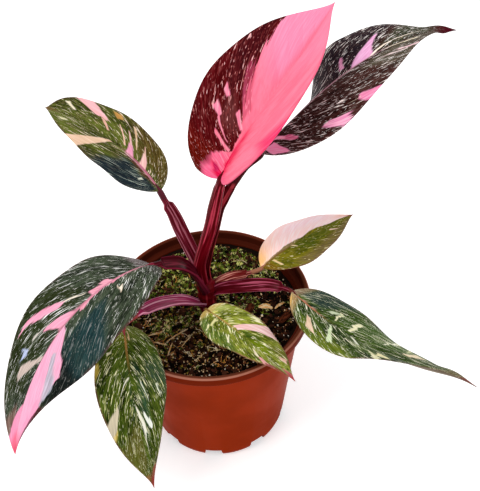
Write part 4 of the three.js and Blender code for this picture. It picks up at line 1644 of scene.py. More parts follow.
class StrewTree(GroupTree):
    """A geometry group that strews copies of a shape over a surface."""

    INPUTS = (
        "Geometry:Geometry, Density, Seed:Int, Smallest, Largest, Patchiness, Bias:Vector, Flat, "
        "Material:Material"
    )

    def __init__(self, name: str) -> None:
        """Makes an empty group with the inputs that all loose matter takes."""
        super().__init__(name, self.INPUTS, "Geometry:Geometry", "Geometry")
        self.where = self.get("GeometryNodeInputPosition")

    def lot(self, low: Any, high: Any, number: int, kind: str = "FLOAT") -> Value:
        """A random value for each copy.

        Args:
            low: The lowest value.
            high: The highest value.
            number: The seed.
            kind: FLOAT or FLOAT_VECTOR.

        Returns:
            The value.
        """
        first, output = (0, 0) if kind == "FLOAT_VECTOR" else (2, 1)
        inputs = {first: low, first + 1: high, "Seed": number}
        return self.get("FunctionNodeRandomValue", inputs, output, data_type=kind)

    def scatter(self, shape: Value, tilt: float) -> Value:
        """Scatters a shape over the surface, turned and sized at random.

        Args:
            shape: The shape to scatter.
            tilt: How far a copy may lean, in radians.

        Returns:
            The copies as one shape, each with its own tone.
        """
        bias = {0: self.where, 1: self["Bias"]}
        lean = self.get("ShaderNodeVectorMath", bias, "Value", operation="DOT_PRODUCT")
        patchy = (self.noise(self.where, 60.0, 3.0) + lean).step(0.47, 0.55)
        share = (patchy - 1.0).line(self["Patchiness"], 1.0)
        sown = {"Mesh": self["Geometry"], "Density": self["Density"] * share, "Seed": self["Seed"]}
        points = self.get("GeometryNodeDistributePointsOnFaces", sown)
        turn = self.lot((-tilt, -tilt, 0.0), (tilt, tilt, FULL_TURN), 11, "FLOAT_VECTOR")
        size = self.lot(self["Smallest"], self["Largest"], 12)
        spread = self.lot((0.7, 0.55, 0.4), (1.25, 1.1, 0.9), 13, "FLOAT_VECTOR")
        flat = self.vector_maths("MULTIPLY", spread, self.vector(1.0, 1.0, self["Flat"]))
        scale = self.vector_maths("MULTIPLY", flat, self.vector(size, size, size))
        copies = self.copies(points, shape, turn, Scale=scale)
        tone = {"Geometry": copies, "Name": LooseFinish.TONE, "Value": self.lot(0.0, 1.0, 14)}
        kind = "GeometryNodeStoreNamedAttribute"
        return self.whole(self.get(kind, tone, data_type="FLOAT", domain="INSTANCE"))

    def wobble(self, scale: float, detail: float, rest: Triple) -> Value:
        """Noise over the points as an offset, less what it is at rest."""
        colour = self.noise(self.where, scale, detail, "Color")
        return self.vector_maths("SUBTRACT", colour, rest)


def grains_tree(shape: GrainShape) -> StrewTree:
    """The tree that strews lumpy grains, each as finely made as its shape says.

    Args:
        shape: How finely a grain is made.

    Returns:
        The geometry node group.
    """
    g = StrewTree(f"{shape.name.lower()}s")
    ball = {"Radius": 1.0, "Subdivisions": shape.value}
    grains = g.scatter(g.get("GeometryNodeMeshIcoSphere", ball, "Mesh"), math.pi)
    shift = {0: g.wobble(900.0, 1.0, (0.5, 0.5, 0.5)), "Scale": g["Largest"] * 1.1}
    return g.finish(g.move(grains, g.get("ShaderNodeVectorMath", shift, operation="SCALE")))


def moss_tree() -> StrewTree:
    """The tree that grows tufts of pointed moss leaflets.

    Returns:
        The geometry node group.
    """
    g = StrewTree("moss")
    ball = g.get("GeometryNodeMeshIcoSphere", {"Radius": 0.2, "Subdivisions": 1}, "Mesh")
    cone = {"Vertices": 3, "Radius Top": 0.0, "Radius Bottom": 0.27, "Depth": 1.0}
    leaflet = g.get("GeometryNodeMeshCone", cone, "Mesh")
    outward = {"Vector": g.get("GeometryNodeInputNormal")}
    aim = g.get("FunctionNodeAlignRotationToVector", outward, axis="Z")
    return g.finish(g.scatter(g.whole(g.copies(ball, leaflet, aim)), 0.6))


def fibres_tree() -> StrewTree:
    """The tree that lays thin crooked fibres.

    Returns:
        The geometry node group.
    """
    g = StrewTree("fibres")
    line = g.get("GeometryNodeCurvePrimitiveLine", {"Start": (-0.5, 0, 0), "End": (0.5, 0, 0)})
    line = g.get("GeometryNodeResampleCurve", {"Curve": line, "Count": 12})
    laid = g.scatter(line, 0.35)
    shift = g.wobble(160.0, 2.0, (0.5, 0.5, 0.35))
    shift = g.vector_maths("MULTIPLY", shift, (0.012, 0.012, 0.005))
    ring = g.get("GeometryNodeCurvePrimitiveCircle", {"Resolution": 4, "Radius": 0.00015})
    tube = {"Curve": g.move(laid, shift), "Profile Curve": ring, "Fill Caps": True}
    return g.finish(g.get("GeometryNodeCurveToMesh", tube))


@dataclass
class Compost:
    """The bed of damp compost and what lies and grows on it."""

    top: float = 95.0  # Height of its surface
    bump: float = 1.1  # Height of its broad unevenness
    inside: float = 53.0  # Radius of the pot's inner wall at the surface
    # Radius and height of its bottom corner and of its underside
    foot: tuple[Pair, ...] = ((41.6, 8.6), (38.0, 4.8))
    rough: float = 0.7  # Height of its fine unevenness
    mound: float = 5.0  # How much higher the mossy back lies
    rings: int = 90  # Steps from the middle to the wall
    segments: int = 220  # Steps round it

    def height(self, x: float, y: float) -> float:
        """The surface's height at a place, in millimetres.

        Args:
            x: Place from left to right.
            y: Place from front to back.

        Returns:
            The height.
        """
        broad = math.sin(x / 9 + 1.3) * math.cos(y / 7.5 - 0.6)
        fine = math.sin(x / 3.7 + y / 5.1) * math.sin(y / 4.3 - x / 6.1)
        edge = float(1 - ease(math.hypot(x, y), self.inside - 5, self.inside))
        lumps = noise.fractal(Vector((x / 3.2, y / 3.2, 5.0)), 1.0, 2.0, 4)
        back = self.mound * float(ease(y - 0.3 * abs(x), 10, 36))
        return self.top + back + edge * self.bump * (0.6 * broad + 0.4 * fine) + self.rough * lumps

    def surface(self, reach: float) -> Mesh:
        """The bed's upper surface as an open sheet.

        Args:
            reach: The sheet's radius in millimetres.

        Returns:
            The sheet.
        """
        bm = bmesh.new()

        def point(x: float, y: float) -> bmesh.types.BMVert:
            """A point of the surface."""
            return bm.verts.new((x * MM, y * MM, self.height(x, y) * MM))

        radii = [reach * k / self.rings for k in range(1, self.rings + 1)]
        rows = [[point(x, y) for x, y in circle(radius, self.segments)] for radius in radii]
        middle = point(0, 0)
        for i in range(self.segments):
            j = (i + 1) % self.segments
            bm.faces.new([middle, rows[0][i], rows[0][j]])
            for low, high in zip(rows, rows[1:]):
                bm.faces.new([low[i], high[i], high[j], low[j]])
        bm.normal_update()
        return settle(bm, "compost_top", closed=False)

    def bed(self) -> Piece:
        """Makes the closed bed.

        Returns:
            The bed's object.
        """
        sheet = self.surface(self.inside)
        bm = bmesh.new()
        bm.from_mesh(sheet)
        bpy.data.meshes.remove(sheet)
        rim = {vert for edge in bm.edges if edge.is_boundary for vert in edge.verts}
        rows = [sorted(rim, key=lambda vert: math.atan2(vert.co.y, vert.co.x))]
        turns = [math.atan2(vert.co.y, vert.co.x) for vert in rows[0]]
        for radius, height in self.foot:
            ring = [(radius * math.cos(a) * MM, radius * math.sin(a) * MM) for a in turns]
            rows.append([bm.verts.new((x, y, height * MM)) for x, y in ring])
        for high, low in zip(rows, rows[1:]):
            for i in range(len(high)):
                j = (i + 1) % len(high)
                bm.faces.new([high[i], low[i], low[j], high[j]])
        bm.faces.new(rows[-1])
        tone = bm.verts.layers.float.new(LooseFinish.TONE)
        for vert in bm.verts:
            vert[tone] = 0.35
        for face in bm.faces:
            face.smooth = True
        finish = LooseFinish("120b07", "2a1a10")
        mesh = settle(bm, "compost_bed")
        return place_piece(mesh, finish.material(mesh.name), ["compost"])

    def strew(
        self,
        name: str,
        tree: StrewTree,
        finish: LooseFinish,
        density: float,
        sizes: Pair,
        seed: int,
        patchiness: float = 0.0,
        bias: Triple = (0.0, 0.0, 0.0),
        flat: float = 1.0,
        reach: float = 50.5,
    ) -> Piece:
        """Strews one kind of matter over the bed.

        Args:
            name: The piece's name.
            tree: The tree that makes it.
            finish: Its colours.
            density: Copies on each square metre.
            sizes: Smallest and largest size in millimetres.
            seed: The random seed.
            patchiness: 0 for even, 1 for all in patches.
            bias: The direction in which patches grow denser, per metre.
            flat: How much each copy is flattened.
            reach: The radius that it covers, in millimetres.

        Returns:
            The piece's object.
        """
        smallest, largest = sizes
        values = {"Density": density, "Seed": seed, "Patchiness": patchiness, "Bias": bias}
        values |= {"Smallest": smallest * MM, "Largest": largest * MM, "Flat": flat}
        values["Material"] = finish.material(name)
        return place_piece(grown(name, self.surface(reach), tree, values))

    def dress(self) -> None:
        """Makes the bed and everything on it."""
        self.bed()
        crumbs, lumps = grains_tree(GrainShape.CRUMB), grains_tree(GrainShape.LUMP)
        moss, fibres = moss_tree(), fibres_tree()
        dark = LooseFinish("0c0704", "44261a")
        bark = LooseFinish("3c1c10", "a06440")
        tan = LooseFinish("b08450", "f8dcac", 0.8)
        pale = LooseFinish("e0ccac", "fff8ea", 0.75)
        green = LooseFinish("16260a", "6c8830", 0.7)
        bright = LooseFinish("8c9c2c", "f4f49c", 0.7)
        olive = LooseFinish("4c3c10", "c8a844", 0.75)
        straw = LooseFinish("e89c48", "fff2c4", 0.7)
        back, rear = (-1.5, 4.5, 0.0), (-0.5, 5.0, 0.0)
        left, front, near = (-7.0, 1.0, 0.0), (-1.5, -5.0, 0.0), (-4.0, -6.0, 0.0)
        self.strew("peat_crumbs", crumbs, dark, 560000, (0.4, 1.1), 3)
        self.strew("peat_lumps", lumps, dark, 110000, (0.9, 2.4), 4, flat=0.7, reach=49.5)
        self.strew("bark_bits", crumbs, bark, 60000, (0.5, 1.6), 5, flat=0.45)
        self.strew("tan_bits", crumbs, tan, 230000, (0.35, 1.0), 10, 0.85, front)
        self.strew("perlite", crumbs, pale, 80000, (0.3, 0.8), 6)
        self.strew("moss_green", moss, green, 560000, (0.8, 1.8), 7, 0.97, back, reach=49.0)
        self.strew("moss_bright", moss, bright, 260000, (0.8, 2.1), 11, 1.0, rear, reach=49.0)
        self.strew("moss_olive", moss, olive, 300000, (0.6, 1.3), 8, 0.97, left, reach=49.0)
        self.strew("fibres", fibres, straw, 56000, (2.0, 6.5), 9, 0.85, near, reach=44.0)


@dataclass
class Flake:
    """A dry, curled scrap that lies on the compost."""

    name: str  # Its name
    place: Triple  # Its middle, in millimetres
    turn: float  # Compass angle of its long side, in degrees
    tilt: float  # How far its far end is lifted, in degrees
    length: float  # Its length
    width: float  # Its width
    curl: float  # How far its sides curl up, in degrees
    finish: LooseFinish  # Its colours
    thickness: float = 0.35  # Its thickness
    steps: tuple[int, int] = (14, 8)  # Steps along and across it

    def point(self, u: float, w: float, level: float) -> Vector:
        """A point of the scrap before it is laid down.

        Args:
            u: Share of its length.
            w: Place across it, from -1 to 1.
            level: Place through it, from -0.5 at its underside to 0.5 at its top.

        Returns:
            The point, in millimetres from the scrap's middle.
        """
        curl = math.radians(self.curl)
        half = self.width / 2 * math.sin(math.pi * (0.06 + 0.88 * u)) ** 0.6
        bend = half / max(curl, 0.01)
        reach = bend + level * self.thickness
        ragged = 0.7 * noise.noise(Vector((5 * u, 2.5 * w, self.turn)))
        lift = bend - reach * math.cos(curl * w) + 0.5 * math.sin(3 * u) + ragged
        return Vector(((u - 0.5) * self.length + ragged, -reach * math.sin(curl * w), lift))

    def dress(self) -> Piece:
        """Makes the finished scrap.

        Returns:
            The scrap's object.
        """
        bm = bmesh.new()
        tone = bm.verts.layers.float.new(LooseFinish.TONE)
        turn = Matrix.Rotation(math.radians(self.turn), 3, "Z")
        turn = turn @ Matrix.Rotation(-math.radians(self.tilt), 3, "Y")
        rows, columns = self.steps

        def corner(i: int, j: int, level: float) -> bmesh.types.BMVert:
            """One corner of the scrap's upper or lower side, with its tone.

            Args:
                i: Step along it.
                j: Step across it.
                level: 0.5 on the upper side and -0.5 on the lower.

            Returns:
                The corner.
            """
            u, w = i / rows, 2 * j / columns - 1
            vert = bm.verts.new((turn @ self.point(u, w, level) + Vector(self.place)) * MM)
            vert[tone] = 0.5 + 0.7 * noise.noise(Vector((3 * u, 5 * w, self.turn + 3)))
            return vert

        sheets = [
            [[corner(i, j, level) for j in range(columns + 1)] for i in range(rows + 1)]
            for level in (0.5, -0.5)
        ]
        upper, lower = sheets
        for i in range(rows):
            for j in range(columns):
                for a in sheets:
                    bm.faces.new([a[i][j], a[i + 1][j], a[i + 1][j + 1], a[i][j + 1]])
            for j in (0, columns):
                bm.faces.new([upper[i][j], upper[i + 1][j], lower[i + 1][j], lower[i][j]])
        for i in (0, rows):
            for j in range(columns):
                bm.faces.new([upper[i][j], upper[i][j + 1], lower[i][j + 1], lower[i][j]])
        for face in bm.faces:
            face.smooth = True
        mesh = settle(bm, self.name)
        return place_piece(mesh, self.finish.material(self.name))


# ---- Studio ----


@dataclass
class Studio:
    """A plain pale floor, soft lights and the camera."""

    camera_place: Triple = (0.0195, -0.361, 0.508)  # Where the camera stands, in metres
    pitch: float = 44.8  # How far it looks down, in degrees
    roll: float = -3.1  # How far it leans, in degrees
    lens: float = 65.99  # Its focal length, in millimetres
    aim: Triple = (0.0, 0.0, 0.12)  # What the lights face, in metres

    def camera(self) -> None:
        """Makes the camera."""
        pitch, roll = math.radians(self.pitch), math.radians(self.roll)
        forward = Vector((0, math.cos(pitch), -math.sin(pitch)))
        level = Vector((1, 0, 0))
        upright = Vector((0, math.sin(pitch), math.cos(pitch)))
        right = level * math.cos(roll) + upright * math.sin(roll)
        up = upright * math.cos(roll) - level * math.sin(roll)
        data = bpy.data.cameras.new("camera")
        data.lens = self.lens
        data.sensor_width = 36.0
        data.clip_start, data.clip_end = 0.02, 20.0
        eye = bpy.data.objects.new("camera", data)
        turn = Matrix((right, up, -forward)).transposed()
        eye.matrix_world = Matrix.Translation(self.camera_place) @ turn.to_4x4()
        bpy.context.scene.collection.objects.link(eye)
        bpy.context.scene.camera = eye

    def light(self, name: str, place: Triple, size: float, power: float, colour: str) -> None:
        """Makes a square light that faces the plant.

        Args:
            name: Its name.
            place: Where it hangs, in metres.
            size: Its side, in metres.
            power: Its power in watts.
            colour: Its colour.
        """
        data = bpy.data.lights.new(name, "AREA")
        data.shape = "SQUARE"
        data.size = size
        data.energy = power
        data.color = tint(colour)[:3]
        lamp = bpy.data.objects.new(name, data)
        aim = Vector(self.aim) - Vector(place)
        lamp.rotation_euler = aim.to_track_quat("-Z", "Y").to_euler()
        lamp.location = place
        bpy.context.scene.collection.objects.link(lamp)

    @staticmethod
    def floor() -> None:
        """Makes the pale floor."""
        bm = bmesh.new()
        bmesh.ops.create_grid(bm, x_segments=2, y_segments=2, size=6.0)
        mesh = settle(bm, "floor", closed=False)
        m = MaterialGraph("floor_paper")
        grain = m.noise(m.place, 260.0, 3.0)
        m.set(
            Base_Color=m.mix(grain, "e6e6e6", "ececec"),
            Roughness=grain.line(0.05, 0.85),
            Specular_IOR_Level=0.1,
            Emission_Color=tint("ffffff"),
            Emission_Strength=0.45,
        )
        mesh.materials.append(m.material)
        add_object("floor", mesh)

    def build(self) -> None:
        """Makes the camera, the floor, the lights and the pale surroundings."""
        self.camera()
        self.floor()
        self.light("key", (-0.6, -0.4, 1.35), 0.6, 11.0, "fffaf4")
        self.light("fill", (0.9, -0.8, 0.9), 1.0, 5.2, "f2f6ff")
        self.light("back", (0.2, 1.1, 1.0), 0.9, 5.0, "ffffff")
        world = bpy.data.worlds.new("pale_room")
        world.use_nodes = True
        colour, strength = world.node_tree.nodes["Background"].inputs[:2]
        colour.default_value = tint("ffffff")
        strength.default_value = 0.55
        bpy.context.scene.world = world
        bpy.context.scene.view_settings.view_transform = "Standard"


# ---- The plant ----

SHAPES: tuple[LeafShape, ...] = (
    LeafShape(
        name="front", base=(-1.4, -17.4, 116), heading=(-43, -53), rise=(-2, -3), bend=1, length=70,
        half=(19, 18), lobe=(1.5, 1.5), broad=(0.4, 0.4), full=(0.55, 0.55), drip=(0.18, 0.18),
        roll=(5, 40), fold=10, curl=14, wave=0.6,
        route=((-2, 3, 97), (-2, -3, 101), (-1.8, -10, 107)), width=5, depth=2.2, start=2.4,
        open=(0, 0, 1), sheath=0.75, stalk=1.1,
    ),
    LeafShape(
        name="hanging", base=(-46, -42.5, 134.5), heading=(-87, -67), rise=(-44, -87), bend=1,
        length=108, half=(20, 20), lobe=(1.3, 1.3), broad=(0.31, 0.31), full=(0.46, 0.46),
        drip=(0.27, 0.27), roll=(13, 33), fold=5, curl=12, wave=1,
        route=(
            (-2, 3, 98), (-7.7, -3, 108), (-16.4, -10, 118), (-28.4, -23, 130), (-39.2, -35.5, 136),
        ),
        width=9.5, depth=2.9, start=2.4, open=(0, 0, 1), sheath=0.8, stalk=1.9,
    ),
    LeafShape(
        name="right", base=(47.9, -14.6, 125), heading=(-39, -11), rise=(-29, -3), bend=0.9,
        length=119, half=(32, 27.5), lobe=(-1.3, -3), broad=(0.38, 0.52), full=(0.08, 0.8),
        drip=(0.33, 0.27), roll=(7, 60), fold=14, curl=16, hook=-30, twist=-25, wave=1,
        route=(
            (-1.5, 4.6, 104), (2, 2.8, 109.5), (6.3, 1.6, 113), (18.3, -2.4, 118.5),
            (31, -7, 123.5), (39, -10.5, 125.5),
        ),
        width=8, depth=2.8, start=2.4, open=(0, -0.6, 0.8), sheath=0.88, stalk=1.3,
    ),
    LeafShape(
        name="inner_right", base=(31.2, 2.4, 128), heading=(33, 38), rise=(18, -20), bend=1,
        length=74, half=(18.5, 18.5), lobe=(-1.4, -1.4), broad=(0.37, 0.37), full=(0.46, 0.46),
        drip=(0.18, 0.18), roll=(5, 8), fold=6, curl=18, wave=0.6,
        route=(
            (-1.5, 6, 105), (1.5, 7.4, 109), (5.2, 7.2, 112.8), (13.7, 6, 118.4), (22, 3.8, 122),
        ),
        width=6.4, depth=2.2, start=2.4, open=(0, -0.2, 1), sheath=0.74, stalk=1.3,
    ),
    LeafShape(
        name="large_left", base=(-30.8, -9.8, 148), heading=(-148, -125), rise=(26, -71), bend=0.65,
        length=144, half=(37, 38), lobe=(1.5, 3), broad=(0.27, 0.37), full=(0.2, 0.18),
        drip=(0.07, 0.39), roll=(-22, 9), fold=2, curl=7, wave=1.6,
        route=(
            (-1.8, 4, 106), (-3.3, 1.2, 118), (-7.7, -1, 132.5), (-15, -4, 142), (-24.2, -8, 146.5),
        ),
        width=11, depth=3.4, start=2.6, open=(0.35, 0.1, 1), sheath=0.88, stalk=1.7,
    ),
    LeafShape(
        name="upper_left", base=(-24, 24.6, 172), heading=(133, 182), rise=(42, 26), bend=1,
        length=80, half=(20.7, 20.7), lobe=(-1.2, -1.2), broad=(0.4, 0.4), full=(0.9, 0.9),
        drip=(0.09, 0.09), roll=(-5, 10), fold=12, curl=19, wave=0.8,
        route=(
            (-2, 6.5, 105), (-4.4, 12, 112.3), (-6.4, 15.8, 120.4), (-9.9, 18, 130.7),
            (-14.3, 20.5, 143.7), (-18.6, 22.4, 158), (-21.8, 23.6, 164.8),
        ),
        width=8.6, depth=2.8, start=2.6, open=(0.5, -0.7, 0.5), sheath=0.86, stalk=1.8,
    ),
    LeafShape(
        name="crown", base=(11.5, 0, 200), heading=(21, 57), rise=(75, 20), bend=0.5, length=112,
        half=(30.6, 33), lobe=(0.5, 6.4), broad=(0.37, 0.39), full=(0.5, 0.58), drip=(0.24, 0.16),
        roll=(-11, 3), fold=32, curl=3, wave=0.8,
        route=(
            (-3, 6.4, 107), (-4.5, 7.2, 118.5), (-4.9, 7.8, 127), (-3.4, 8.4, 134),
            (-0.6, 8.6, 143.3), (3.3, 8.2, 156.8), (6.6, 6.4, 173.4), (9.6, 3.2, 189),
        ),
        width=7.6, depth=3.2, start=3.6, open=(0.35, 0.9, 0.1), sheath=0.9, stalk=2.6,
    ),
    LeafShape(
        name="rear", base=(32.2, 10.6, 207), heading=(30, 24), rise=(33, -20), bend=1.85,
        length=135, half=(33, 32), lobe=(-1.8, -20), broad=(0.31, 0.42), full=(0.51, 0.87),
        drip=(0.47, 0.51), roll=(6, 16), fold=11, curl=18, pinch=0.2, tip_from=0.86, twist=-110,
        sag=(58, 0.18, 0.56), wave=0.8,
        route=(
            (-1, 8, 107), (-2.2, 10, 122.4), (-0.7, 10.9, 130.7), (1.6, 11.5, 139.9),
            (5.2, 11.3, 153.5), (8.8, 10.4, 169.5), (11.9, 9.8, 176.6), (15, 9.4, 183.3),
            (18.7, 9.4, 190.2), (25, 9.6, 200.1),
        ),
        width=6.8, depth=3, start=3.2, open=(-0.35, -0.9, 0.1), sheath=0.74, stalk=2.5,
    ),
)

DRY = LooseFinish("e0a050", "fff2c8", 0.75)
CHIP = LooseFinish("260d06", "5c2c18", 0.85)

FLAKES: tuple[Flake, ...] = (
    Flake("dry_scale", (33.0, -2.0, 97.4), -12, 4, 8.6, 4.8, 66, DRY),
    Flake("dry_curl", (41.5, -0.6, 97.2), 32, 8, 7.0, 2.0, 40, DRY),
    Flake("bark_chip", (44.0, -10.5, 97.0), 40, 10, 8.5, 5.0, 22, CHIP, 0.8),
    Flake("bark_chip_small", (23.5, -1.5, 97.0), 65, 8, 7.5, 5.0, 18, CHIP, 0.8),
    Flake("straw_long", (-20.5, -20.0, 97.6), 33, 3, 15.0, 0.8, 40, DRY),
    Flake("straw_left", (-34.5, -18.5, 97.4), 8, 4, 8.0, 0.8, 40, DRY),
    Flake("straw_bent", (-24.5, -30.0, 97.2), 74, 5, 9.0, 0.7, 40, DRY),
    Flake("straw_pale", (-31.0, -25.5, 97.6), -22, 5, 10.0, 0.7, 60, DRY),
    Flake("straw_fork", (-15.0, -25.0, 97.4), 51, 4, 8.0, 0.7, 50, DRY),
    Flake("straw_back", (24.0, 24.0, 101.4), -38, 5, 9.0, 0.9, 60, DRY),
)

WHOLE: Pair = (-0.1, 1.4)  # From the midrib to past the margin
L, R = Side.LEFT, Side.RIGHT

